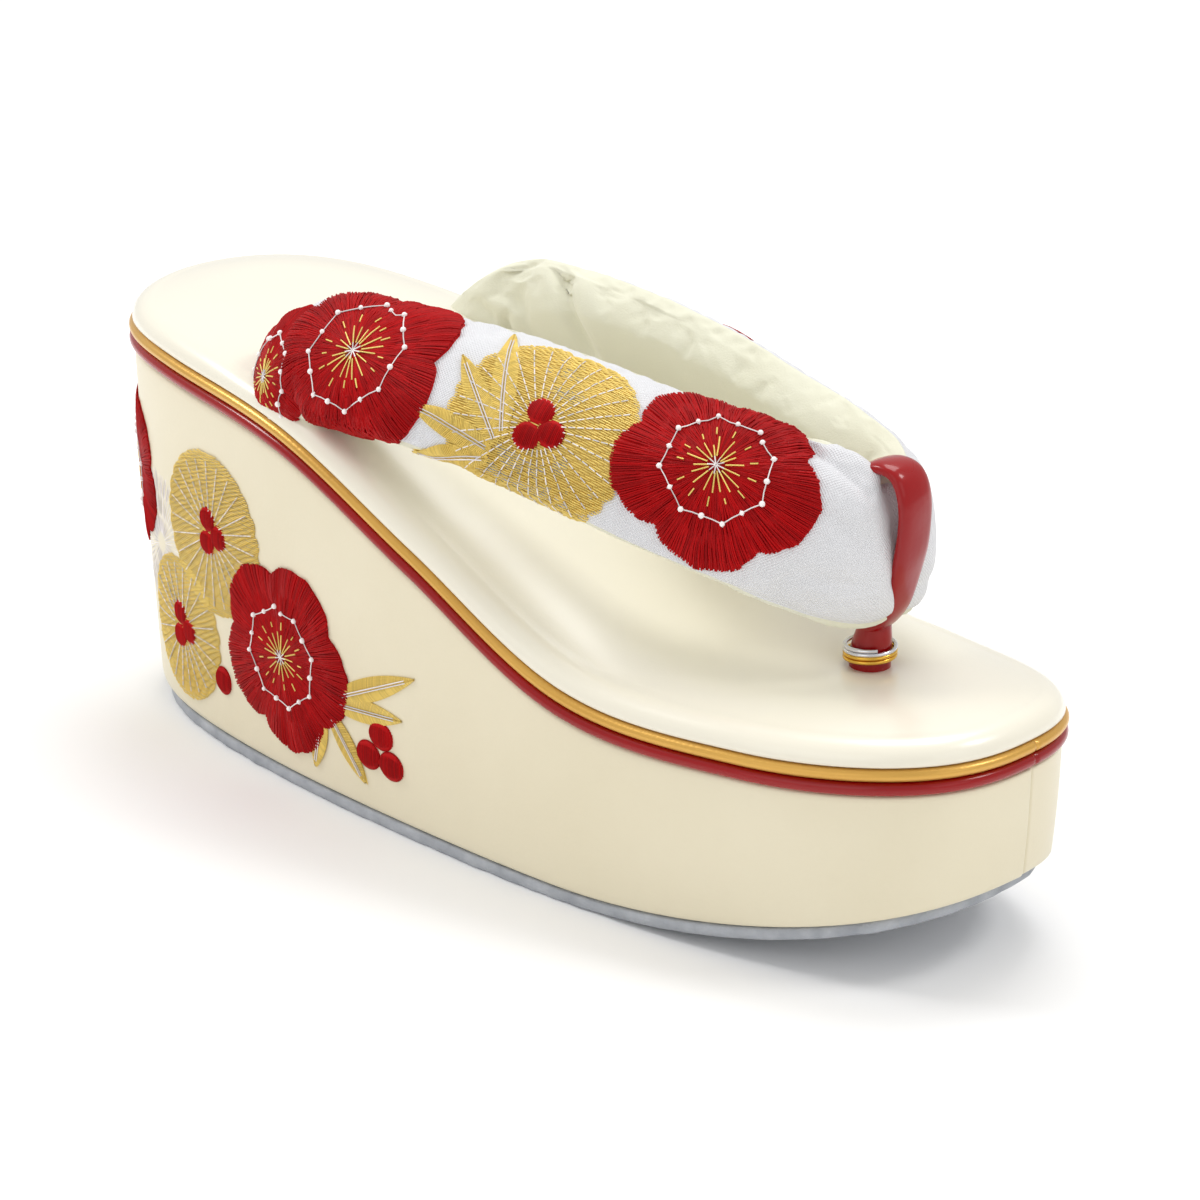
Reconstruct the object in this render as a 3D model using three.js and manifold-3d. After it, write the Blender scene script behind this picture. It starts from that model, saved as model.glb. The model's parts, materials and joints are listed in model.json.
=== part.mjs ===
// A high-heeled zori sandal, the right shoe of a pair.
// Millimetres. The toe points to -Y, the heel to +Y, the big-toe side to +X and up is +Z.
// The origin is on the floor, under the middle of the shoe.
import * as THREE from 'three';
import { mergeVertices } from 'three/addons/utils/BufferGeometryUtils.js';
import Module from 'manifold-3d';

const wasm = await Module();
wasm.setup();

// ---- driving dimensions -------------------------------------------------------------------

const LENGTH = 240;
const HALF_LENGTH = LENGTH / 2;
const GAP = 0.3;
const HALF_GAP = GAP / 2;

// Half width of the sole at u = y / half length: a superellipse, broadened towards both ends.
const OUTLINE = {
  middle: 41.3,
  lean: -1.8,
  barrel: 0.9,
  heelFlare: 8.5,
  endFlare: 15.2,
  power: 2.32,
  heelRoot: 1.92,
  toeRoot: 2.47,
};

// The last bends: toe and heel swing to the big-toe side of the middle.
const BEND = { from: 30, heel: 5.5, toe: 2.4 };

// Height of the line between insole and piping, every 40 mm from toe to heel.
const TOP_LINE = [47.2, 44.5, 46.8, 64.9, 81.0, 86.0, 86.9];

// Inward lean of the wall from the piping down to the floor.
const WALL_LEAN = { side: 2.8, toe: 0.9, heel: 4.5, from: 40 };

const TOE_SPRING = { from: -35, rise: 16.3 };
const OUTSOLE = { thickness: 2.7, sideInset: 0.2, endInset: 3.2, endsFrom: 70 };
const PIPING = { gold: 2.6, red: 2.9, depth: 4.2, bulge: 0.8, roundSteps: 4, wallInset: 0.3 };
const INSOLE = { edgeRadius: 5.5, edgeHeight: 4.5, rim: 0.3, crown: 1.5, crownReach: 14 };
// Distances in from the outline at which the insole's skin has a ring of points.
const INSOLE_RINGS = [0.4, 1.6, 3.4, 5.5, 9, 13.5, 19.5];

// Sections of the strap's two arms, from the toe thong back to where they enter the sole.
// x, y: middle of the band. rise: height of that middle above the datum, which follows the
// top line at ARM_DATUM above it.
// lean: tilt of the band's top towards the foot, degrees. width, out, inn: the padded section.
const ARM_COLUMNS = ['x', 'y', 'rise', 'lean', 'width', 'out', 'inn'];
const ARM_DATUM = 5.5;
const OUTER_ARM = [
  [1.0, -79, 25.0, 12, 30.5, 7.0, 5.0],
  [-6.5, -70, 30.0, 22, 33.0, 8.0, 5.0],
  [-13.0, -52, 34.0, 32, 34.5, 8.0, 5.0],
  [-20.0, -30, 34.0, 41, 34.0, 8.3, 5.0],
  [-26.0, -5, 26.5, 45, 33.0, 8.5, 5.0],
  [-28.5, 18, 16.8, 43, 31.0, 8.3, 5.0],
  [-28.8, 37, 8.3, 37, 29.0, 8.0, 5.0],
  [-28.4, 48, 0.0, 26, 26.0, 7.4, 5.0],
  [-27.5, 54, -10.0, 12, 22.0, 6.0, 5.0],
];
const INNER_ARM = [
  [12.0, -79, 24.5, 5, 28.5, 7.0, 5.0],
  [21.0, -70, 27.5, 10, 29.0, 8.0, 5.0],
  [27.0, -52, 30.5, 18, 31.0, 8.4, 5.0],
  [31.0, -30, 28.8, 23, 32.0, 8.3, 5.0],
  [32.0, -6, 21.3, 23, 31.0, 8.1, 5.0],
  [31.4, 16, 13.7, 18, 29.0, 7.8, 5.0],
  [31.5, 36, 4.6, 12, 27.0, 7.4, 5.0],
  [30.0, 48, -5.0, 6, 24.0, 6.8, 5.0],
  [29.0, 54, -11.5, 2, 21.0, 6.0, 5.0],
];
const ARM_STEPS = 30;
const ARM_SIDES = 20;
const ARM_SQUARENESS = 0.77;
const ARM_END = { reach: 8, steps: 3 };

// The toe thong: a stem in its hole, and a band round the strap's front.
const THONG = { x: 6.3, y: -78.6, stemRadius: 4.1, stemTop: 8.5, stemDepth: 3, sides: 24 };
const THONG_BAND = { width: 9, thickness: 2.4, corner: 0.8, steps: 40 };
// The band's loop, as (y, height above the insole) from the stem forwards and over the top.
const THONG_LOOP = [
  [-79.5, 7.5],
  [-84.0, 14.0],
  [-87.5, 25.0],
  [-89.0, 36.0],
  [-85.5, 42.0],
  [-79.0, 42.0],
  [-74.5, 36.0],
  [-73.8, 25.0],
  [-75.0, 14.0],
];
const RING = { inner: 4.5, wire: 1.15, height: 3.2, lift: 0.6, corner: 0.4, sides: 32 };

// Points along each side of the outline, and the small steps used to read slopes.
const HALF_POINTS = 34;
const SLOPE_REACH = 0.5;
const STATION_REACH = 0.01;
const WELD = 1e-4;

// ---- finishes -------------------------------------------------------------------------------

const FINISH = {
  creamCover: { color: 0xe4ddc6, roughness: 0.42, metalness: 0 },
  pearlInsole: { color: 0xeeeada, roughness: 0.32, metalness: 0 },
  redEnamel: { color: 0xa5232a, roughness: 0.2, metalness: 0 },
  goldEnamel: { color: 0xc8a050, roughness: 0.3, metalness: 0.5 },
  whiteCloth: { color: 0xebebeb, roughness: 0.85, metalness: 0 },
  greyRubber: { color: 0x969ba5, roughness: 0.8, metalness: 0 },
  goldWire: { color: 0xd0a23c, roughness: 0.25, metalness: 1 },
};

function makePiece(name, geometry, finish) {
  const piece = new THREE.Mesh(geometry, new THREE.MeshStandardMaterial(finish));
  piece.name = name;
  return piece;
}

// ---- the shape of the last --------------------------------------------------------------------

// Smooth curve through evenly spaced values, read at station t = 0, 1, 2 ...
function through(values, t) {
  const last = values.length - 1;
  const index = Math.min(Math.max(Math.floor(t), 0), last - 1);
  const from = values[index];
  const to = values[index + 1];
  const before = index > 0 ? values[index - 1] : 2 * from - to;
  const after = index + 2 <= last ? values[index + 2] : 2 * to - from;
  const s = t - index;
  const slopeFrom = (to - before) / 2;
  const slopeTo = (after - from) / 2;
  const rise = to - from;
  const bend = slopeFrom + slopeTo - 2 * rise;
  return from + s * (slopeFrom + s * (3 * rise - 2 * slopeFrom - slopeTo + s * bend));
}

function topLine(y) {
  const spacing = LENGTH / (TOP_LINE.length - 1);
  return through(TOP_LINE, (y + HALF_LENGTH) / spacing);
}

// How much longer a layer of unit thickness stands when it is measured upright on the slope.
function slopeFactor(y) {
  const rise = topLine(y + SLOPE_REACH) - topLine(y - SLOPE_REACH);
  return Math.hypot(1, rise / (2 * SLOPE_REACH));
}

function floorLine(y) {
  const past = Math.max(0, TOE_SPRING.from - y) / (TOE_SPRING.from + HALF_LENGTH);
  return TOE_SPRING.rise * past ** 2;
}

// 0 up to `from`, then smoothly to 1 at the shoe's end.
function towardsEnd(distance, from) {
  return Math.max(0, (distance - from) / (HALF_LENGTH - from)) ** 2;
}

function halfWidth(y) {
  const u = y / HALF_LENGTH;
  const root = u > 0 ? OUTLINE.heelRoot : OUTLINE.toeRoot;
  const cap = Math.max(0, 1 - Math.abs(u) ** OUTLINE.power) ** (1 / root);
  const flare = OUTLINE.barrel * u ** 2 + OUTLINE.heelFlare * u ** 3 + OUTLINE.endFlare * u ** 4;
  return cap * (OUTLINE.middle + OUTLINE.lean * u + flare);
}

function middleLine(y) {
  return BEND.heel * towardsEnd(y, BEND.from) + BEND.toe * towardsEnd(-y, BEND.from);
}

function wallLean(y) {
  const toe = (WALL_LEAN.toe - WALL_LEAN.side) * towardsEnd(-y, WALL_LEAN.from);
  const heel = (WALL_LEAN.heel - WALL_LEAN.side) * towardsEnd(y, WALL_LEAN.from);
  return WALL_LEAN.side + toe + heel;
}

// The outline as points with their outward direction: heel to toe on the big-toe side, and back.
function makeOutline() {
  const points = [];
  const total = 2 * HALF_POINTS;
  for (let i = 0; i < total; i += 1) {
    const angle = (Math.PI * i) / HALF_POINTS;
    const y = HALF_LENGTH * Math.cos(angle);
    const side = i <= HALF_POINTS ? 1 : -1;
    points.push(new THREE.Vector2(middleLine(y) + side * halfWidth(y), y));
  }
  return points.map((point, i) => {
    const next = points[(i + 1) % total];
    const previous = points[(i + total - 1) % total];
    const along = next.clone().sub(previous).normalize();
    return { point, outward: new THREE.Vector2(-along.y, along.x) };
  });
}

const outline = makeOutline();

// One ring of the outline, moved outwards by offset(y), at height(y).
function outlineRing(offset, height) {
  return outline.map(({ point, outward }) => {
    const moved = point.clone().addScaledVector(outward, offset(point.y));
    return new THREE.Vector3(moved.x, moved.y, height(moved.y));
  });
}

// ---- closed solids from rings of points ---------------------------------------------------------

function geometryFrom(rings, triangles) {
  const geometry = new THREE.BufferGeometry();
  geometry.setFromPoints(rings.flat());
  geometry.setIndex(triangles);
  geometry.computeVertexNormals();
  return geometry;
}

// Quads between following rings. The rings turn so that the faces point outwards.
function wallTriangles(rings, closed) {
  const count = rings[0].length;
  const triangles = [];
  const bands = closed ? rings.length : rings.length - 1;
  for (let r = 0; r < bands; r += 1) {
    const low = r * count;
    const high = ((r + 1) % rings.length) * count;
    for (let i = 0; i < count; i += 1) {
      const j = (i + 1) % count;
      triangles.push(low + i, high + j, low + j);
      triangles.push(low + i, high + i, high + j);
    }
  }
  return triangles;
}

// Rungs across an outline ring, from its big-toe side to its other side.
function ladderTriangles(first, upwards) {
  const total = 2 * HALF_POINTS;
  const triangles = [];
  for (let i = 0; i < HALF_POINTS; i += 1) {
    const a = first + i;
    const b = first + i + 1;
    const c = first + ((total - i - 1) % total);
    const d = first + ((total - i) % total);
    const faces = [];
    if (b !== c) faces.push([a, b, c]);
    if (a !== d) faces.push([a, c, d]);
    faces.forEach((face) => triangles.push(...(upwards ? face.reverse() : face)));
  }
  return triangles;
}

// A solid whose skin is a stack of outline rings, from its underside up to its top.
function stackSolid(rings) {
  const top = (rings.length - 1) * rings[0].length;
  const triangles = [
    ...wallTriangles(rings, false),
    ...ladderTriangles(0, false),
    ...ladderTriangles(top, true),
  ];
  return geometryFrom(rings, triangles);
}

// A solid tube through rings, closed by a point at each end.
function spindleSolid(start, rings, end) {
  const count = rings[0].length;
  const points = [...rings, [start, end]];
  const startIndex = rings.length * count;
  const last = (rings.length - 1) * count;
  const triangles = wallTriangles(rings, false);
  for (let i = 0; i < count; i += 1) {
    const j = (i + 1) % count;
    triangles.push(startIndex, i, j);
    triangles.push(startIndex + 1, last + j, last + i);
  }
  return geometryFrom(points, triangles);
}

// ---- joins and cuts ---------------------------------------------------------------------------

function toManifold(geometry) {
  const bare = geometry.clone();
  bare.deleteAttribute('normal');
  bare.deleteAttribute('uv');
  const merged = mergeVertices(bare, WELD);
  const vertProperties = new Float32Array(merged.attributes.position.array);
  const triVerts = new Uint32Array(merged.index.array);
  return new wasm.Manifold(new wasm.Mesh({ numProp: 3, vertProperties, triVerts }));
}

function toGeometry(solid) {
  const mesh = solid.getMesh();
  const geometry = new THREE.BufferGeometry();
  geometry.setAttribute('position', new THREE.BufferAttribute(mesh.vertProperties, 3));
  geometry.setIndex(new THREE.BufferAttribute(mesh.triVerts, 1));
  geometry.computeVertexNormals();
  return geometry;
}

// ---- sole ---------------------------------------------------------------------------------------

function makeOutsole() {
  const ends = (y) => towardsEnd(Math.abs(y), OUTSOLE.endsFrom);
  const inset = (y) => OUTSOLE.sideInset + (OUTSOLE.endInset - OUTSOLE.sideInset) * ends(y);
  const offset = (y) => -wallLean(y) - inset(y);
  const under = outlineRing(offset, floorLine);
  const over = outlineRing(offset, (y) => floorLine(y) + OUTSOLE.thickness);
  return makePiece('outsole', stackSolid([under, over]), FINISH.greyRubber);
}

function pipingUnderside(y) {
  return topLine(y) - (PIPING.gold + PIPING.red) * slopeFactor(y);
}

function makeWedgeBody() {
  const foot = (y) => floorLine(y) + OUTSOLE.thickness + GAP;
  const shoulder = (y) => pipingUnderside(y) - HALF_GAP;
  const platform = (y) => topLine(y) - HALF_GAP;
  const step = (y) => -PIPING.depth - GAP;
  const rings = [
    outlineRing((y) => -wallLean(y), foot),
    outlineRing(() => -PIPING.wallInset, shoulder),
    outlineRing(step, shoulder),
    outlineRing(step, platform),
  ];
  return makePiece('wedge_body', stackSolid(rings), FINISH.creamCover);
}

// A piping strip of the given thickness, `above` millimetres under the top line.
function makePiping(name, above, thickness, finish) {
  const { depth, bulge, roundSteps } = PIPING;
  const section = [
    { out: -depth, down: HALF_GAP },
    { out: -depth, down: thickness - HALF_GAP },
  ];
  for (let k = 0; k <= roundSteps; k += 1) {
    const angle = Math.PI * (1 / 2 - k / roundSteps);
    const down = thickness / 2 + (thickness / 2 - HALF_GAP) * Math.sin(angle);
    section.push({ out: bulge * Math.cos(angle), down });
  }
  const rings = section.map(({ out, down }) =>
    outlineRing(() => out, (y) => topLine(y) - (above + down) * slopeFactor(y)));
  const triangles = wallTriangles(rings, true);
  return makePiece(name, geometryFrom(rings, triangles), finish);
}

// Height of the insole's skin above the top line, `inset` millimetres in from the outline.
function insoleRise(inset) {
  const across = Math.min(1, inset / INSOLE.edgeRadius);
  const edge = INSOLE.edgeHeight * Math.sqrt(1 - (1 - across) ** 2);
  const past = Math.max(0, inset - INSOLE.edgeRadius) / INSOLE.crownReach;
  const crown = INSOLE.crown * (1 - (1 - Math.min(1, past)) ** 2);
  return edge + crown;
}

// The insole's skin, lifted and spread, down to `depth` below the top line.
function insoleShell({ spread, lift, depth }) {
  const rings = [
    outlineRing(() => spread, (y) => topLine(y) - depth),
    outlineRing(() => spread, (y) => topLine(y) + HALF_GAP + lift),
  ];
  INSOLE_RINGS.forEach((inset) => {
    const height = (y) => topLine(y) + HALF_GAP + insoleRise(inset) + lift;
    rings.push(outlineRing(() => spread - inset, height));
  });
  return toManifold(stackSolid(rings));
}

// An upright round bar at the thong's place, between two heights.
function thongBar(radius, low, high) {
  const bar = new THREE.CylinderGeometry(radius, radius, high - low, THONG.sides);
  bar.rotateX(Math.PI / 2);
  bar.translate(THONG.x, THONG.y, (low + high) / 2);
  return toManifold(bar);
}

const insoleHeight = HALF_GAP + INSOLE.rim + INSOLE.edgeHeight + INSOLE.crown;
const thongFloor = topLine(THONG.y) + insoleHeight;

function makeInsole() {
  const hole = thongBar(THONG.stemRadius + GAP, 0, thongFloor + INSOLE.edgeHeight);
  const body = insoleShell({ spread: 0, lift: INSOLE.rim, depth: -HALF_GAP });
  return makePiece('insole', toGeometry(body.subtract(hole)), FINISH.pearlInsole);
}

// ---- strap ----------------------------------------------------------------------------------------

// One section of an arm at station t, scaled about its middle by `scale`, moved on by `shift`.
function armSection(rows, t, scale, shift) {
  const at = {};
  const onward = {};
  ARM_COLUMNS.forEach((column, c) => {
    const values = rows.map((row) => row[c]);
    at[column] = through(values, t);
    onward[column] = through(values, t + STATION_REACH) - through(values, t - STATION_REACH);
  });
  const datum = (y) => topLine(y) + ARM_DATUM;
  const slope = (datum(at.y + SLOPE_REACH) - datum(at.y - SLOPE_REACH)) / (2 * SLOPE_REACH);
  const along = new THREE.Vector3(onward.x, onward.y, onward.rise + slope * onward.y).normalize();
  const upright = new THREE.Vector3(0, 0, 1);
  const outward = new THREE.Vector3().crossVectors(upright, along).normalize();
  if (outward.x * rows[1][0] < 0) outward.negate();
  const lean = THREE.MathUtils.degToRad(at.lean);
  const broad = upright.multiplyScalar(Math.cos(lean)).addScaledVector(outward, -Math.sin(lean));
  broad.addScaledVector(along, -broad.dot(along)).normalize();
  const thick = new THREE.Vector3().crossVectors(along, broad);
  if (thick.dot(outward) < 0) thick.negate();
  const middle = new THREE.Vector3(at.x, at.y, datum(at.y) + at.rise);
  middle.addScaledVector(along, -shift);
  const ring = [];
  for (let i = 0; i < ARM_SIDES; i += 1) {
    const angle = (2 * Math.PI * i) / ARM_SIDES;
    const across = Math.sign(Math.cos(angle)) * Math.abs(Math.cos(angle)) ** ARM_SQUARENESS;
    const depth = Math.sin(angle) > 0 ? at.out : at.inn;
    const point = middle.clone().addScaledVector(broad, (across * scale * at.width) / 2);
    ring.push(point.addScaledVector(thick, Math.sin(angle) * scale * depth));
  }
  return { middle, ring };
}

// One padded arm, with a round end at the toe thong.
function armSolid(rows) {
  const stations = [];
  for (let i = ARM_END.steps; i > 0; i -= 1) {
    const angle = (Math.PI / 2) * (i / (ARM_END.steps + 1));
    stations.push(armSection(rows, 0, Math.cos(angle), ARM_END.reach * Math.sin(angle)));
  }
  for (let i = 0; i <= ARM_STEPS; i += 1) {
    stations.push(armSection(rows, ((rows.length - 1) * i) / ARM_STEPS, 1, 0));
  }
  const rings = stations.map((station) => station.ring);
  const tip = armSection(rows, 0, 1, ARM_END.reach).middle;
  const tail = stations[stations.length - 1].middle;
  const solid = spindleSolid(tip, rings, tail);
  const volume = signedVolume(solid);
  return toManifold(volume > 0 ? solid : turned(solid));
}

function signedVolume(geometry) {
  const position = geometry.attributes.position;
  const index = geometry.index;
  const corners = [new THREE.Vector3(), new THREE.Vector3(), new THREE.Vector3()];
  let total = 0;
  for (let i = 0; i < index.count; i += 3) {
    corners.forEach((corner, k) => corner.fromBufferAttribute(position, index.getX(i + k)));
    total += corners[0].dot(corners[1].clone().cross(corners[2])) / 6;
  }
  return total;
}

function turned(geometry) {
  const flipped = geometry.clone();
  flipped.setIndex(Array.from(geometry.index.array).reverse());
  return flipped;
}

// The thong's band and stem, grown by `grow` on every side.
function thongSolid(grow) {
  const loop = new THREE.CatmullRomCurve3(
    THONG_LOOP.map(([y, rise]) => new THREE.Vector3(THONG.x, y, thongFloor + rise)), true);
  const halfBand = THONG_BAND.width / 2 + grow;
  const halfThick = THONG_BAND.thickness / 2 + grow;
  const { corner } = THONG_BAND;
  const section = [
    { wide: -halfBand, deep: -halfThick + corner },
    { wide: -halfBand + corner, deep: -halfThick },
    { wide: halfBand - corner, deep: -halfThick },
    { wide: halfBand, deep: -halfThick + corner },
    { wide: halfBand, deep: halfThick - corner },
    { wide: halfBand - corner, deep: halfThick },
    { wide: -halfBand + corner, deep: halfThick },
    { wide: -halfBand, deep: halfThick - corner },
  ];
  const rings = [];
  for (let i = 0; i < THONG_BAND.steps; i += 1) {
    const middle = loop.getPoint(i / THONG_BAND.steps);
    const along = loop.getTangent(i / THONG_BAND.steps);
    const deepWay = new THREE.Vector3(0, -along.z, along.y);
    rings.push(section.map(({ wide, deep }) => {
      const point = middle.clone().addScaledVector(deepWay, deep);
      point.x += wide;
      return point;
    }));
  }
  const band = geometryFrom(rings, wallTriangles(rings, true));
  const bandSolid = toManifold(signedVolume(band) > 0 ? band : turned(band));
  const low = thongFloor - THONG.stemDepth - grow;
  const stem = thongBar(THONG.stemRadius + grow, low, thongFloor + THONG.stemTop + grow);
  return bandSolid.add(stem);
}

function makeStrap() {
  const arms = armSolid(OUTER_ARM).add(armSolid(INNER_ARM));
  const sole = insoleShell({ spread: PIPING.bulge + GAP, lift: INSOLE.rim + GAP, depth: LENGTH });
  const clear = arms.subtract(thongSolid(GAP)).subtract(sole);
  const bodies = clear.decompose();
  const largest = bodies.reduce((a, b) => (a.volume() > b.volume() ? a : b));
  return makePiece('hanao_strap', toGeometry(largest), FINISH.whiteCloth);
}

function makeThong() {
  return makePiece('front_thong', toGeometry(thongSolid(0)), FINISH.redEnamel);
}

function makeRing() {
  const { inner, wire, height, lift, corner, sides } = RING;
  const low = thongFloor + lift;
  const profile = [
    [inner, low],
    [inner + wire - corner, low],
    [inner + wire, low + corner],
    [inner + wire, low + height - corner],
    [inner + wire - corner, low + height],
    [inner, low + height],
    [inner, low],
  ];
  const ring = new THREE.LatheGeometry(profile.map(([r, z]) => new THREE.Vector2(r, z)), sides);
  ring.rotateX(Math.PI / 2);
  ring.translate(THONG.x, THONG.y, 0);
  return makePiece('thong_ring', ring, FINISH.goldWire);
}

// ---- the shoe ---------------------------------------------------------------------------------------

const zori = new THREE.Group();
zori.add(makeOutsole());
zori.add(makeWedgeBody());
zori.add(makePiping('red_piping', PIPING.gold, PIPING.red, FINISH.redEnamel));
zori.add(makePiping('gold_piping', 0, PIPING.gold, FINISH.goldEnamel));
zori.add(makeInsole());
zori.add(makeStrap());
zori.add(makeThong());
zori.add(makeRing());

export default zori;
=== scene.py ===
# The looks of a high-heeled zori sandal, the right shoe of a pair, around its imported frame.
# Sizes are in millimetres, as a zori maker reads them, and every mesh is made in metres.
# The toe points to -Y, the heel to +Y, the big-toe side to +X and up is +Z.

import json
import logging
import math
from dataclasses import dataclass, field
from enum import Enum
from typing import Callable, Iterable

import bmesh
import bpy
import numpy as np
from mathutils import Matrix, Vector

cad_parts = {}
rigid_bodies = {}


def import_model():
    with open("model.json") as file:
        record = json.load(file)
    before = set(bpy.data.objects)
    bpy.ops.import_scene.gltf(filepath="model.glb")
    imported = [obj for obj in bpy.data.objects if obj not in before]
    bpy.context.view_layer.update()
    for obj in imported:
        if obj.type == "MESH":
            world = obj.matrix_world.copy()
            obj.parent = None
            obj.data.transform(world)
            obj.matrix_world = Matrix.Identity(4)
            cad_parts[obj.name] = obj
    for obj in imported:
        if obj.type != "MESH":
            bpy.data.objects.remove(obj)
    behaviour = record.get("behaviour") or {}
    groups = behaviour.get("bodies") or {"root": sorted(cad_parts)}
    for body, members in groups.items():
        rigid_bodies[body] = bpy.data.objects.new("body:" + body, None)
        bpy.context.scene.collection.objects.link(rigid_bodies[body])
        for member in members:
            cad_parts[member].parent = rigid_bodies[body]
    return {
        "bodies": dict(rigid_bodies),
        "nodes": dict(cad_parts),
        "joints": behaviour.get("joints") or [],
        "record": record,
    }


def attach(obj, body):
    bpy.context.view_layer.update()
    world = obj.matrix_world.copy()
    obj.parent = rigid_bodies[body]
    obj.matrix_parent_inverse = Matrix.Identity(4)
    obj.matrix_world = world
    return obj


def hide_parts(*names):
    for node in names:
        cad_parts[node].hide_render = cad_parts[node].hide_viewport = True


LOG = logging.getLogger("zori")
MM = 0.001
SEED = 7
Curve = Callable[[np.ndarray], np.ndarray]
Batch = np.ndarray


# ---- small geometry helpers ---------------------------------------------------------------------


def through(values: np.ndarray, t: np.ndarray) -> np.ndarray:
    """Reads a smooth curve through evenly spaced rows.

    Args:
        values: One row for each station 0, 1, 2 and so on.
        t: The places to read, in stations.

    Returns:
        One row for each place.
    """
    rows = np.asarray(values, float)
    places = np.asarray(t, float)
    last = len(rows) - 1
    index = np.clip(np.floor(places).astype(int), 0, last - 1)
    start, end = rows[index], rows[index + 1]
    shape = places.shape + (1,) * (rows.ndim - 1)
    first = (index == 0).reshape(shape)
    final = (index == last - 1).reshape(shape)
    before = np.where(first, 2 * start - end, rows[np.maximum(index - 1, 0)])
    after = np.where(final, 2 * end - start, rows[np.minimum(index + 2, last)])
    s = (places - index).reshape(shape)
    slope_start = (end - before) / 2
    slope_end = (after - start) / 2
    rise = end - start
    bend = slope_start + slope_end - 2 * rise
    return start + s * (slope_start + s * (3 * rise - 2 * slope_start - slope_end + s * bend))


def unit(vectors: np.ndarray) -> np.ndarray:
    """Returns the vectors at length one."""
    length = np.linalg.norm(vectors, axis=-1, keepdims=True)
    return vectors / np.maximum(length, 1e-12)


def arc_lengths(points: np.ndarray) -> np.ndarray:
    """Returns the length along a line of points at each of them, from 0."""
    steps = np.linalg.norm(np.diff(points, axis=0), axis=-1)
    return np.concatenate([[0.0], np.cumsum(steps)])


def hill(distance: np.ndarray, width: float) -> np.ndarray:
    """Returns a soft bump of height one and the given half width."""
    return np.exp(-((distance / width) ** 2))


def smooth_step(value: np.ndarray, low: float, high: float) -> np.ndarray:
    """Returns 0 below low, 1 above high, and an S between them."""
    t = np.clip((value - low) / (high - low), 0.0, 1.0)
    return t * t * (3 - 2 * t)


class MeshMaker:
    """Collects vertices, faces, UVs and material numbers, and makes one object of them."""

    def __init__(self, name: str) -> None:
        """Starts an empty piece of that name."""
        self.name = name
        self.verts: list[np.ndarray] = []
        self.faces: list[tuple[int, ...]] = []
        self.uvs: list[tuple[float, float]] = []
        self.slots: list[int] = []
        self.count = 0

    def add_points(self, points: np.ndarray) -> int:
        """Adds points in millimetres.

        Args:
            points: An array whose last axis is x, y, z.

        Returns:
            The number of the first point added.
        """
        flat = np.asarray(points, float).reshape(-1, 3)
        first = self.count
        self.verts.append(flat)
        self.count += len(flat)
        return first

    def add_face(self, corners: tuple[int, ...], uv: Iterable, slot: int = 0) -> None:
        """Adds one face with a UV for each corner."""
        self.faces.append(corners)
        self.uvs.extend(uv)
        self.slots.append(slot)

    def add_grid(
        self,
        points: np.ndarray,
        uv: np.ndarray | None = None,
        wrap: bool = True,
        slot_of: Callable[[int, int], int] | None = None,
        flip: bool = False,
    ) -> int:
        """Adds quads between following rows of points.

        Args:
            points: Rows by columns by x, y, z.
            uv: Rows by columns by u, v, with one more column than points where it wraps.
            wrap: Whether the last column joins the first.
            slot_of: Gives the material number for a row and a column.
            flip: Whether the faces turn the other way.

        Returns:
            The number of the grid's first point.
        """
        rows, columns = points.shape[:2]
        first = self.add_points(points)
        span = columns if wrap else columns - 1
        if uv is None:
            uv = np.zeros((rows, columns + 1, 2))
        for r in range(rows - 1):
            for c in range(span):
                d = (c + 1) % columns
                low, high = first + r * columns, first + (r + 1) * columns
                corners = [low + c, low + d, high + d, high + c]
                marks = [uv[r, c], uv[r, c + 1], uv[r + 1, c + 1], uv[r + 1, c]]
                if flip:
                    corners.reverse()
                    marks.reverse()
                self.add_face(tuple(corners), marks, slot_of(r, c) if slot_of else 0)
        return first

    def add_fan(self, ring_start: int, columns: int, tip: np.ndarray, slot: int = 0) -> None:
        """Closes a ring of points with triangles to one point."""
        centre = self.add_points(tip)
        for c in range(columns):
            corners = (ring_start + c, ring_start + (c + 1) % columns, centre)
            self.add_face(corners, [(0.0, 0.0)] * 3, slot)

    def add_ladder(self, ring_start: int, columns: int) -> None:
        """Closes a sole-shaped ring with rungs from one side to the other."""
        half = columns // 2
        for i in range(half):
            corners = [
                ring_start + i,
                ring_start + i + 1,
                ring_start + (columns - i - 1) % columns,
                ring_start + (columns - i) % columns,
            ]
            corners = list(dict.fromkeys(corners))
            self.add_face(tuple(corners), [(0.0, 0.0)] * len(corners))

    def build(self, materials: list[bpy.types.Material], closed: bool = True) -> bpy.types.Object:
        """Makes the object.

        Args:
            materials: The piece's materials, in the order of the material numbers.
            closed: Whether the piece is a closed form, whose faces are turned outwards.

        Returns:
            The new object, at the origin.
        """
        mesh = bpy.data.meshes.new(self.name)
        coordinates = np.concatenate(self.verts) * MM
        mesh.from_pydata(coordinates.tolist(), [], self.faces)
        layer = mesh.uv_layers.new(name="UVMap")
        layer.data.foreach_set("uv", np.asarray(self.uvs, np.float32).ravel())
        mesh.polygons.foreach_set("material_index", self.slots)
        mesh.polygons.foreach_set("use_smooth", [True] * len(mesh.polygons))
        for material in materials:
            mesh.materials.append(material)
        if closed:
            tidy_mesh(mesh)
        mesh.update()
        piece = bpy.data.objects.new(self.name, mesh)
        bpy.context.scene.collection.objects.link(piece)
        return piece


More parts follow.
